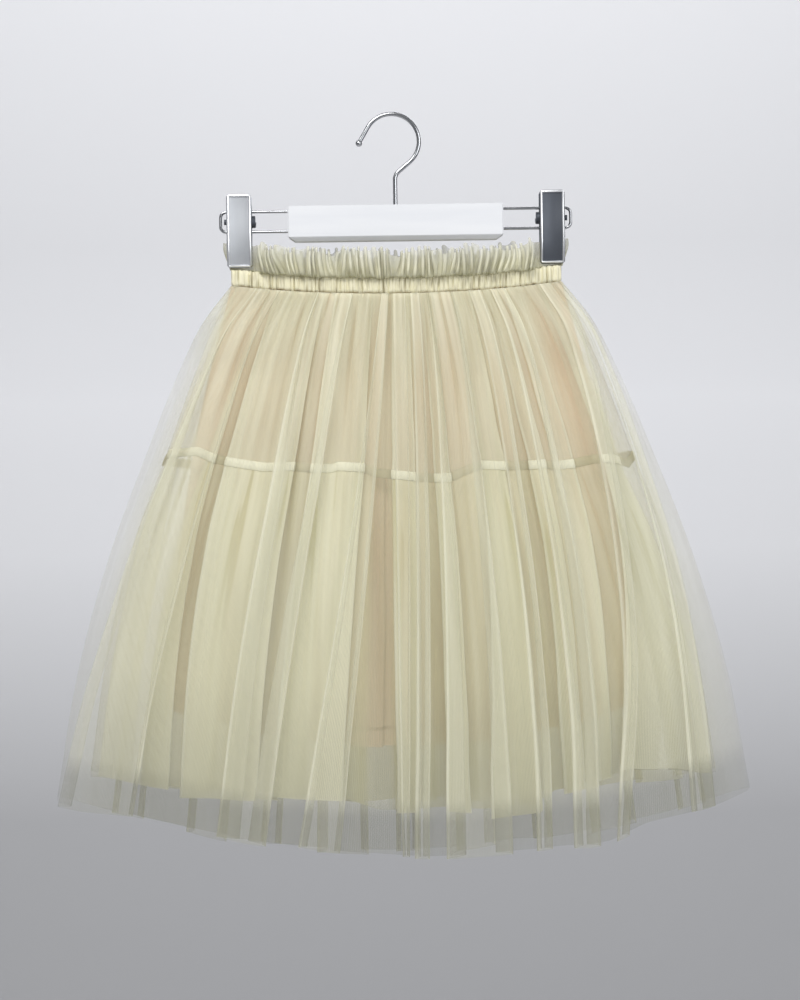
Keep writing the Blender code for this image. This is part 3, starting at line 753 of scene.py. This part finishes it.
def lining_material():
    """Smooth nude lining with a faint weave and a stitched hem."""
    n = Nodes("lining_cloth")
    cloud = n.noise(n.object_place(), scale=14.0, detail=3.0)
    tone = n.blend(n.remap(cloud, *SOFT, 0.0, 1.0), color(0.84, 0.62, 0.44), color(0.89, 0.69, 0.52))
    inputs = {0: n.cloth_place()["Y"], 1: STITCH_PLACE, 2: STITCH_REACH}
    stitch = n.give("Math", inputs, operation="COMPARE")
    tone = n.blend(n.times(stitch, 0.5), tone, color(0.42, 0.31, 0.21))
    n.bump(n.bands(n.cloth_uv(), "DIAGONAL", scale=900.0), distance=0.0002, strength=0.3)
    return n.surface(Base_Color=tone, Roughness=0.55, Sheen_Weight=0.2)


def tape_material():
    """Ribbed cream binding, thinner where it goes back into the folds and painted darker there as shade.
    """
    n = Nodes("seam_tape")
    raised = n.cloth_place()["Z"]
    rib = n.bands(n.cloth_uv(), "X", scale=300.0)
    tone = n.blend(rib, color(0.93, 0.9, 0.68), color(1.0, 0.98, 0.82))
    # Painted shade: the tape darkens where it sinks into the folds.
    tone = n.blend(n.remap(raised, *TAPE_RAISED, 0.0, 1.0), color(0.7, 0.64, 0.42), tone)
    n.bump(rib, distance=0.0004, strength=0.5)
    return n.surface(Base_Color=tone, Alpha=n.remap(raised, *TAPE_RAISED, 0.55, 1.0), Roughness=0.7)


def casing_material():
    """Net folded and gathered hard over elastic: full, with fine creases painted dark as shade and fold
    edges painted pale as highlights.
    """
    n = Nodes("casing_tulle")
    shaded_crease = streaks(n, across=60.0, down=1.2, seed=2.0)
    fine = streaks(n, across=170.0, down=2.0, seed=4.0)
    edge = n.times(n.attribute("fold_edge", "Fac"), 0.5)
    # Painted shade in the fine creases.
    deep = n.remap(shaded_crease, 0.4, 0.52, 0.0, 1.0)
    tone = n.blend(deep, color(0.34, 0.29, 0.14), color(0.76, 0.71, 0.47))
    tone = n.blend(n.remap(fine, 0.35, 0.65, 0.0, 1.0), tone, color(0.82, 0.77, 0.56))
    # Painted highlight along the fold edges.
    tone = n.blend(edge, tone, color(0.88, 0.85, 0.66))
    n.bump(n.total(shaded_crease, n.times(fine, 0.4)), distance=0.0016, strength=0.9)
    return n.surface(Base_Color=tone, Roughness=0.8, Sheen_Weight=0.15)


def metal_material(name, tint, rough, brushed=0.0, metallic=1.0):
    """Plated steel, polished or brushed along its length, with faint smears."""
    n = Nodes(name)
    place = n.object_place()
    grain = n.noise(n.stretched(place, (1.0, 1.0, 0.03)), scale=2600.0, detail=3.0)
    smear = n.noise(place, scale=90.0, detail=4.0)
    low = n.times(n.remap(grain, *SOFT, 0.0, 1.0), brushed)
    wear = n.times(n.remap(smear, 0.35, 0.7, 0.0, 1.0), 0.08)
    n.bump(grain, distance=0.00005, strength=0.2 + brushed)
    return n.surface(Base_Color=color(*tint), Metallic=metallic, Roughness=n.total(low, wear, rough))


def paint_material():
    """White satin paint over wood, a little uneven."""
    n = Nodes("white_paint")
    place = n.object_place()
    peel = n.noise(place, scale=420.0, detail=3.0)
    grain = n.noise(n.stretched(place, (9, 120, 120)), scale=1.0, detail=4.0)
    tone = n.blend(n.remap(grain, *SOFT, 0.0, 1.0), color(0.755, 0.77, 0.805), color(0.8, 0.812, 0.84))
    n.bump(n.total(peel, n.times(grain, 0.6)), distance=0.00015, strength=0.35)
    return n.surface(Base_Color=tone, Roughness=0.38)


# Each net's tint is its painted shaded colour and lit its painted lit colour.
OUTER_NET = net_material(
    "outer_tulle", tint=(0.62, 0.61, 0.45), lit=(0.95, 0.93, 0.76), hole=0.17, thread=0.18, edge_gain=0.22,
    gather=0.14, seed=1.0, raise_alpha=0.03, raise_shade=0.35, top=0.26, end=(0.9, 0.94, 0.95),
    end_painted_tone=(0.27, 0.27, 0.2), sides=(0.86, 0.15, 0.3),
)
UPPER_NET = net_material(
    "upper_tier_tulle", tint=(0.77, 0.71, 0.49), lit=(0.97, 0.94, 0.76), hole=0.38, thread=0.2,
    edge_gain=0.14, gather=0.2, seed=5.0, raise_alpha=0.2, raise_shade=0.5, top=0.12,
    sides=(0.66, 0.28, 0.4),
)
LOWER_NET = net_material(
    "lower_tier_tulle", tint=(0.83, 0.79, 0.52), lit=(0.99, 0.97, 0.79), hole=0.5, thread=0.2,
    edge_gain=0.1, gather=0.1, seed=9.0, raise_alpha=0.2, raise_shade=0.45, end=(0.62, 1.0, 0.42),
    sides=(0.6, 0.38, 0.6),
)
# The frill's tones are darker than the other nets': painted shadow of the block above it.
FRILL_NET = net_material(
    "frill_tulle", tint=(0.41, 0.39, 0.24), lit=(0.73, 0.71, 0.53), hole=0.5, thread=0.24, edge_gain=0.25,
    gather=0.2, seed=13.0, crumple=0.8, end=(0.45, 1.0, 0.55), end_painted_tone=(0.78, 0.78, 0.69), thin_end=0.22,
)
LINING = lining_material()
TAPE = tape_material()
CASING = casing_material()
CHROME = metal_material("hook_chrome", (0.46, 0.47, 0.49), 0.16)
# The clips' jaws are one steel: the left copy is painted lit and lighter, the right painted shade and
# darker; the darker copy is also used for the pins, springs and saddles.
PAINTED_LIT_CLIP = metal_material("clip_steel_painted_lit", (0.52, 0.54, 0.57), 0.46, brushed=0.12, metallic=0.55)
DARK_AND_SHADED_CLIP = metal_material("clip_steel_dark_and_shaded", (0.095, 0.105, 0.125), 0.42, brushed=0.1, metallic=0.55)
RIM_STEEL = metal_material("clip_rim", (0.9, 0.91, 0.93), 0.3, brushed=0.05)
PAINT = paint_material()


def dress(piece, slot, *nodes):
    """Makes a piece ride on the body and stand for the CAD nodes given. Its slot is not used."""
    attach(piece, "root")
    if nodes:
        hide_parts(*nodes)


def seam_rise(grid):
    """How far the front's uneven seam lifts each point of a tier, and nothing behind."""
    front = smooth_step(0.0, SEAM_FRONT_DEPTH, -grid[..., 1])
    return np.interp(grid[..., 0], *np.transpose(SEAM_RISES)) * front


def offset_of(grid):
    """The direction out of the cloth at each point of a closed grid."""
    across = np.roll(grid, -1, axis=1) - np.roll(grid, 1, axis=1)
    normal = np.cross(across, np.gradient(grid, axis=0))
    normal /= np.maximum(np.linalg.norm(normal, axis=2, keepdims=True), TINY)
    return normal * np.sign((normal * grid * OUTWARD_TEST).sum())


def tape_band(upper, upper_places, lower):
    """The tape round the seam, which follows the upper tier above it and the lower one below it."""
    seam = upper[-1]
    above, below = [row - seam for row in (upper[-2], lower[1])]
    above, below = [way / np.linalg.norm(way, axis=1, keepdims=True) for way in (above, below)]
    outward = offset_of(np.array([seam + way * TAPE_HALF_HEIGHT for way in (above, below)]))[0]
    band = np.array([
        seam + (above if place > 0 else below) * TAPE_HALF_HEIGHT * abs(place) + outward * lift
        for place, lift in TAPE_PATH
    ])
    return band, np.zeros(band.shape[:2]), np.broadcast_to(upper_places[-1], (*band.shape[:2], 2))


def skirt_layers():
    """The outer skirt, the two tiers with their tape, and the lining."""
    outer = drape(
        OUTER_LEVELS, OUTER_FRONT, OUTER_BACK, rows=72, seed=1.0, gathers=OUTER_GATHERS, hem_wave=0.0022,
        hem_rises=OUTER_HEM_RISES, back_drop=0.009,
    )
    upper, upper_marks, upper_places = drape(
        UPPER_TIER_LEVELS, TIER_FRONT, TIER_BACK, rows=26, seed=2.0, gathers=UPPER_GATHERS, straight=True,
    )
    lower, lower_marks, lower_places = drape(
        LOWER_TIER_LEVELS, TIER_FRONT, TIER_BACK, rows=44, seed=2.0, gathers=LOWER_GATHERS, hem_wave=0.002,
        hem_rises=TIER_HEM_RISES,
    )
    lining = drape(
        LINING_LEVELS, LINING_SOFT, LINING_SOFT, rows=40, seed=4.0, gathers=LINING_GATHERS, hem_wave=0.001,
    )
    # The gap lowers the tier's raised place, thinning the net and painting it darker there as shade.
    from_gap = (lower_places[..., 0] - GAP_PLACE) / GAP_HALF_WIDTH
    lower_places[..., 1] -= GAP_STRENGTH * np.exp(-(from_gap**4))
    upper[..., 2] += seam_rise(upper) * np.linspace(0, 1, len(upper))[:, None] ** SEAM_FADE_ABOVE
    lower[..., 2] += seam_rise(lower) * np.linspace(1, 0, len(lower))[:, None] ** SEAM_FADE_BELOW
    lower[0] = upper[-1]
    above, below = (upper, upper_marks, upper_places), (lower, lower_marks, lower_places)
    tape = tape_band(upper, upper_places, lower)
    for name, part, (grid, marks, places), material, slot, flat in (
        ("outer_skirt", "outer", outer, OUTER_NET, "outer_tulle", (1.6, 0.45)),
        ("upper_tier", "tier_upper", above, UPPER_NET, "tier_tulle", (0.85, 0.15)),
        ("lower_tier", "tier_lower", below, LOWER_NET, "tier_tulle", (1.6, 0.27)),
        ("seam_tape", "tier_tape", tape, TAPE, "seam_tape", (1.1, 0.015)),
        ("lining", "lining", lining, LINING, "lining_cloth", (0.8, 0.36)),
    ):
        piece = grid_piece(name, grid, material, marks, places)
        dress(piece, slot, f"{part}_front", f"{part}_back")


def ruffle_places(seed):
    """Places along a waist panel, from 0 to 1, on ruffles of uneven width, with their phases."""
    count = np.arange(RUFFLES)
    waves = [strength * np.sin(turn * count + start + seed) for strength, turn, start in RUFFLE_WIDTHS]
    widths = 1 + sum(waves)
    edges = np.concatenate([[0.0], np.cumsum(widths) / widths.sum()])
    phase = np.arange(RUFFLES * RUFFLE_STEPS + 1) / RUFFLE_STEPS
    return np.interp(phase, np.arange(RUFFLES + 1), edges), phase


def waist_ring(rows, point):
    """A closed grid of rows round the waist, from point's places for each row and side."""
    grid = []
    for row in range(rows):
        ring = []
        for side in (-1, 1):
            share, phase = ruffle_places(2.0 + side)
            points = point(row, side, share, phase)
            ring.append(points[:-1] if side < 0 else points[::-1][:-1])
        grid.append(np.concatenate(ring))
    return np.array(grid)


def waist_at(side, share, widen, height):
    """Places on the waist's outline, raised out of it."""
    depth = WAIST_FRONT_DEPTH if side < 0 else WAIST_BACK_DEPTH
    outline = Outline(WAIST_HALF_WIDTH + widen, depth, PINCHED)
    return outline.at(np.clip(share, 0, 1) * outline.length, height)


def casing_point(row, side, share, phase):
    """The casing's points along one side, at a row of its section."""
    level = rows_of(CASING_COLUMNS, CASING_PATH)[row]
    lean = CASING_LEAN * uneven(share * 23, side + 5.0) * (level["down"] - 0.5)
    crest = np.abs(np.sin(math.pi * (phase + lean))) ** 0.5 * (1 + 0.35 * uneven(phase * 1.3, 3.0 + side))
    fine = CASING_FINE * np.sin(2 * math.pi * phase * 2.3 + 2 * uneven(share * 31, 3.0))
    height = level["out"] * CASING_WALL + level["rib"] * CASING_RIB * (crest + fine - 0.9)
    x, out, middle = waist_at(side, share, 0.0, height)
    z = WAIST_SIDE_Z - WAIST_DROOP * middle - CASING_HEIGHT * level["down"]
    z = z + CASING_WAVE * uneven(phase * 1.7, 7.0 + side)
    z = z - CASING_PULL * (crest - 0.6) * (level["down"] - 0.45)
    return np.stack([x, side * (out + SEAM_GAP / 2), z], axis=1)


def frill_point(row, side, share, phase):
    """The frill's points along one side, at a row of its path."""
    levels = rows_of(FRILL_COLUMNS, FRILL_PATH)
    along = row / (FRILL_ROWS - 1)
    places = [level["along"] for level in levels]
    rise, lean, wave, loop, widen = [
        eased(places, [level[key] for level in levels], np.array([along]))[0] for key in FRILL_COLUMNS[1:]
    ]
    flat_x = waist_at(side, share, widen, 0.0)[0]
    loose = 1 - smooth_step(FRILL_OPEN_BELOW, FRILL_FLAT_FROM, np.abs(flat_x))
    turn = 2 * math.pi * (phase + FRILL_DRIFT * max(rise, 0.0) * uneven(phase * 0.9, side + 2.0))
    size = 1 + FRILL_SIZES * uneven(phase * 0.8, side + 11.0)
    sway = loop * np.sin(2 * turn) / (2 * math.pi * RUFFLES) * FRILL_LOOP * loose
    height = (lean - wave * size * np.cos(turn) / 2) * loose
    x, out, middle = waist_at(side, share + sway, widen, height)
    tall = 1 + (FRILL_HEIGHTS * uneven(phase * 0.8, side + 4.0) + FRILL_CRESTS * np.cos(turn)) * loose
    sag = FRILL_SAG * (size - 1) * loose * math.sin(math.pi * min(along * 2, 1.0))
    z = WAIST_SIDE_Z - WAIST_DROOP * middle + FRILL_HEIGHT * rise * tall - sag
    return np.stack([x, side * (np.maximum(out, 0.0) + SEAM_GAP), z], axis=1)


def waistband():
    """The gathered elastic casing and the ruffle above it."""
    for name, rows, point, material, slot, flat in (
        ("casing", len(CASING_PATH), casing_point, CASING, "casing_tulle", (0.62, 0.036)),
        ("frill", FRILL_ROWS, frill_point, FRILL_NET, "frill_tulle", (1.1, 0.024)),
    ):
        grid = waist_ring(rows, point)
        piece = grid_piece(name, grid, material, bend_of(grid))
        dress(piece, slot, f"{name}_front", f"{name}_back")


def arc(centre, radius, start, end, steps=ARC_STEPS):
    """Points (x, z) of an arc, with its angles in degrees from +X."""
    angles = [math.radians(mix(start, end, n / steps)) for n in range(steps + 1)]
    return [(centre[0] + radius * math.cos(a), centre[1] + radius * math.sin(a)) for a in angles]


def sweep(name, path, radii, material, sides=20, closed=False):
    """A round bar along a path of points (x, y, z), with rounded shading and closed ends."""
    path = np.array(path, float)
    if closed:
        heading = np.roll(path, -1, axis=0) - np.roll(path, 1, axis=0)
    else:
        heading = np.gradient(path, axis=0)
    heading /= np.linalg.norm(heading, axis=1, keepdims=True)
    mesh = bmesh.new()
    rings = []
    normal = Vector((0, 1, 0)) if abs(heading[0][1]) < 0.9 else Vector((1, 0, 0))
    for place, along, radius in zip(path, heading, radii):
        along = Vector(along)
        normal = (normal - along * normal.dot(along)).normalized()
        cross = along.cross(normal)
        ring = []
        for n in range(sides):
            angle = 2 * math.pi * n / sides
            away = normal * math.cos(angle) + cross * math.sin(angle)
            ring.append(mesh.verts.new(Vector(place) + away * radius))
        rings.append(ring)
    pairs = list(zip(rings, rings[1:])) + ([(rings[-1], rings[0])] if closed else [])
    for first, second in pairs:
        for n in range(sides):
            mesh.faces.new((first[n], first[(n + 1) % sides], second[(n + 1) % sides], second[n]))
    if not closed:
        mesh.faces.new(rings[0][::-1])
        mesh.faces.new(rings[-1])
    return solid_piece(name, mesh, material)


def solid_piece(name, mesh, material):
    """Turns a bmesh into an object with outward faces and sharp corners where it turns hard."""
    bmesh.ops.recalc_face_normals(mesh, faces=mesh.faces[:])
    data = bpy.data.meshes.new(name)
    mesh.to_mesh(data)
    mesh.free()
    data.shade_smooth()
    data.set_sharp_from_angle(angle=math.radians(40))
    data.materials.append(material)
    return placed(name, data)


def hook():
    """The wire hook with its ball tip, crown, neck and shank."""
    inner_radius = HOOK_RADIUS - HOOK_WIRE / 2
    centre = (HOOK_CENTRE_X, -math.sqrt(inner_radius**2 - HOOK_CENTRE_X**2))
    crown = arc(centre, HOOK_RADIUS, HOOK_TIP_ANGLE, HOOK_TURN_ANGLE, CROWN_STEPS)
    lean = math.radians(HOOK_TIP_ANGLE)
    heading = np.array((-math.sin(lean), math.cos(lean)))
    ball_centre = np.array(crown[0]) + heading * HOOK_TIP_RUN
    turns = [math.radians(angle) for angle in BALL_ANGLES]
    ball = [tuple(ball_centre + heading * HOOK_BALL * math.sin(a)) for a in turns]
    turn = math.radians(HOOK_TURN_ANGLE)
    across = NECK_BEND * (1 - math.cos(turn))
    run = (crown[-1][0] - across) / -math.sin(turn)
    neck_top = crown[-1][1] - run * math.cos(turn)
    neck_centre = (NECK_BEND, neck_top + NECK_BEND * math.sin(turn))
    neck = arc(neck_centre, NECK_BEND, 180 + HOOK_TURN_ANGLE, 180)
    wire = [*crown, *neck, (0.0, BLOCK_TOP - SHANK_DEPTH)]
    radii = [HOOK_BALL * math.cos(a) for a in turns] + [HOOK_WIRE / 2] * len(wire)
    piece = sweep("hook", [(x, 0.0, z) for x, z in ball + wire], radii, CHROME)
    dress(piece, "hook_chrome", "hanger_hook")


def wires():
    """The two chrome loops that slide into the bar."""
    reach = WIRE_REACH - WIRE_CORNER
    inner = BLOCK_HALF_WIDTH - WIRE_HOLD
    high = arc((reach, WIRE_HIGH_Z - WIRE_CORNER), WIRE_CORNER, 90, 0)
    low = arc((reach, WIRE_LOW_Z + WIRE_CORNER), WIRE_CORNER, 0, -90)
    points = [(inner, WIRE_HIGH_Z), *high, *low, (inner, WIRE_LOW_Z)]
    for place, side in (("left", -1), ("right", 1)):
        path = [(side * x, 0.0, z) for x, z in points]
        piece = sweep(f"wire_{place}", path, [WIRE / 2] * len(path), CHROME)
        dress(piece, "wire_chrome", f"hanger_wire_{place}")


def clip_face(z):
    """The plate's outer face and its side flanges' depth at a height."""
    levels = np.array(CLIP_LEVELS)
    face = eased(-levels[:, 0], levels[:, 1], -np.asarray(z, float))
    return face, np.interp(-np.asarray(z, float), -levels[:, 0], levels[:, 2])


def clip_plate(name, clip_x, side, material):
    """A jaw's pressed plate: a shallow pan with rolled corners, side flanges and a sunk middle."""
    zs = np.linspace(CLIP_LEVELS[0][0], CLIP_LEVELS[-1][0], PLATE_ROWS)
    mesh = bmesh.new()
    rows = []
    for z, out, deep in zip(zs, *clip_face(zs)):
        end = min(z - zs[-1], zs[0] - z)
        half = CLIP_HALF_WIDTH - PLATE_NARROWING * max(0.0, 1 - end / PLATE_NARROWING) ** 2
        outside = [(0.0, deep), (0.0, PLATE_ROLL)]
        outside += [(PLATE_ROLL * (1 - math.cos(a)), PLATE_ROLL * (1 - math.sin(a))) for a in PLATE_TURNS]
        outside += [(PLATE_ROLL, 0.0), (PLATE_RIDGE, 0.0), (PLATE_STEP, PLATE_SINK), (half, PLATE_SINK)]
        outside = [(x - half, out - sunk) for x, sunk in outside]
        outside += [(-x, y) for x, y in outside[-2::-1]]
        shrink = (half - CLIP_METAL) / half
        inside = [(x * shrink, y - CLIP_METAL if abs(x) < half - FLANGE_EDGE else y) for x, y in outside]
        loop = outside + inside[::-1]
        rows.append([mesh.verts.new((clip_x + x, side * y, z)) for x, y in loop])
    for upper, lower in zip(rows, rows[1:]):
        for n in range(len(upper)):
            following = (n + 1) % len(upper)
            mesh.faces.new((upper[n], upper[following], lower[following], lower[n]))
    mesh.faces.new(rows[0])
    mesh.faces.new(rows[-1][::-1])
    return solid_piece(name, mesh, material)


def rim_path(clip_x, side):
    """The path of the bright rim round a plate's outer face."""
    half = CLIP_HALF_WIDTH - RIM_INSET
    top, bottom = CLIP_LEVELS[0][0] - RIM_END_INSET, CLIP_LEVELS[-1][0] + RIM_END_INSET
    corners = arc((half - RIM_CORNER, top - RIM_CORNER), RIM_CORNER, 90, 0, RIM_CORNER_STEPS)
    corners += [(half, z) for z in np.linspace(top - RIM_STRAIGHT, bottom + RIM_STRAIGHT, RIM_STEPS)]
    corners += arc((half - RIM_CORNER, bottom + RIM_CORNER), RIM_CORNER, 0, -90, RIM_CORNER_STEPS)
    path = corners + [(-x, z) for x, z in corners[::-1]]
    return [(clip_x + x, side * (float(clip_face(z)[0]) - RIM_SINK), z) for x, z in path]


def clips():
    """Two spring clips, each with two plates, their bright rims, a pivot pin and a coil spring."""
    middle = (WIRE_HIGH_Z + WIRE_LOW_Z) / 2
    # The left jaws take the steel painted lit, the right jaws the steel painted shade.
    for place, at, metal in (("left", -CLIP_X, PAINTED_LIT_CLIP), ("right", CLIP_X, DARK_AND_SHADED_CLIP)):
        for face_name, side in (("front", -1), ("back", 1)):
            plate = clip_plate(f"clip_{place}_{face_name}", at, side, metal)
            dress(plate, "clip_steel", f"clip_jaw_{place}_{face_name}")
            path = rim_path(at, side)
            radii = [RIM_RADIUS] * len(path)
            rim = sweep(f"clip_rim_{place}_{face_name}", path, radii, RIM_STEEL, FINE_SIDES, closed=True)
            dress(rim, "clip_steel")
        pin = [(at + x, 0.0, middle) for x in np.linspace(-PIN_REACH, PIN_REACH, 6)]
        dress(sweep(f"clip_pin_{place}", pin, [PIN_RADIUS] * len(pin), DARK_AND_SHADED_CLIP), "clip_steel")
        inward = -math.copysign(1.0, at)
        coil = []
        for n in range(5 * COIL_STEPS + 1):
            angle = 2 * math.pi * n / COIL_STEPS
            x = at + inward * (COIL_START + COIL_PITCH * n / COIL_STEPS)
            coil.append((x, COIL_RADIUS * math.cos(angle), middle + COIL_RADIUS * math.sin(angle)))
        spring = sweep(f"clip_spring_{place}", coil, [COIL_WIRE] * len(coil), DARK_AND_SHADED_CLIP, FINE_SIDES)
        dress(spring, "clip_steel")


def paint_cad():
    """Gives the CAD nodes that stay on show their finish."""
    finishes = {"hanger_block": PAINT, "clip_saddle_left": DARK_AND_SHADED_CLIP, "clip_saddle_right": DARK_AND_SHADED_CLIP}
    for name, material in finishes.items():
        shown = bpy.data.objects[name].data
        shown.materials.clear()
        shown.materials.append(material)


skirt_layers()
waistband()
hook()
wires()
clips()
paint_cad()


def camera():
    data = bpy.data.cameras.new("camera")
    data.sensor_width = SENSOR_MM
    data.lens = SENSOR_MM * CAMERA_DISTANCE / (FRAME_HEIGHT_PX * PIXEL)
    made = placed("camera", data)
    made.location = (CAMERA_X, -CAMERA_DISTANCE, CAMERA_Z)
    made.rotation_euler = (math.pi / 2, CAMERA_ROLL, 0.0)
    scene.camera = made


def area_light(name, place, target, size, power, tint):
    data = bpy.data.lights.new(name, "AREA")
    data.shape = "RECTANGLE"
    data.size, data.size_y = size
    data.energy = power
    data.color = tint
    made = placed(name, data)
    made.location = place
    aim = Vector(target) - Vector(place)
    made.rotation_euler = aim.to_track_quat("-Z", "Y").to_euler()


def studio():
    """A plain pale floor that sweeps up into a backdrop with painted shade low on it, and soft light from
    above and in front.
    """
    low, high = BACKDROP_SHADE_TONES[0][0], BACKDROP_SHADE_TONES[-1][0]
    bend = arc((WALL_Y - ROOM_BEND, low + ROOM_BEND), ROOM_BEND, -90, 0)
    path = [(-ROOM_HALF_WIDTH, low), *bend, (WALL_Y, ROOM_TOP)]
    grid = np.array([[(x, y, z) for x in (-ROOM_HALF_WIDTH, ROOM_HALF_WIDTH)] for y, z in path])
    n = Nodes("backdrop")
    height = n.give("SeparateXYZ", {"Vector": n.object_place()}, "Z")
    # Painted shade: the ramp darkens the backdrop at its bend and low on the wall.
    ramp = n.add("ValToRGB", {"Fac": n.remap(height, low, high, 0.0, 1.0)})
    stops = ramp.color_ramp.elements
    while len(stops) < len(BACKDROP_SHADE_TONES):
        stops.new(0.5)
    for stop, (z, gray) in enumerate(BACKDROP_SHADE_TONES):
        stops[stop].position = (z - low) / (high - low)
        stops[stop].color = color(gray, gray, gray * WALL_BLUE)
    n.surface(Base_Color=ramp.outputs["Color"], Roughness=0.9)
    backdrop = grid_piece("backdrop", grid, n.material, np.zeros(grid.shape[:2]), closed=False)
    world = bpy.data.worlds.new("studio")
    world.use_nodes = True
    background = world.node_tree.nodes["Background"]
    background.inputs["Color"].default_value = WORLD_TINT
    background.inputs["Strength"].default_value = WORLD_STRENGTH
    scene.world = world
    for light in LIGHTS:
        area_light(*light)


scene.view_settings.view_transform = "Standard"
camera()
studio()
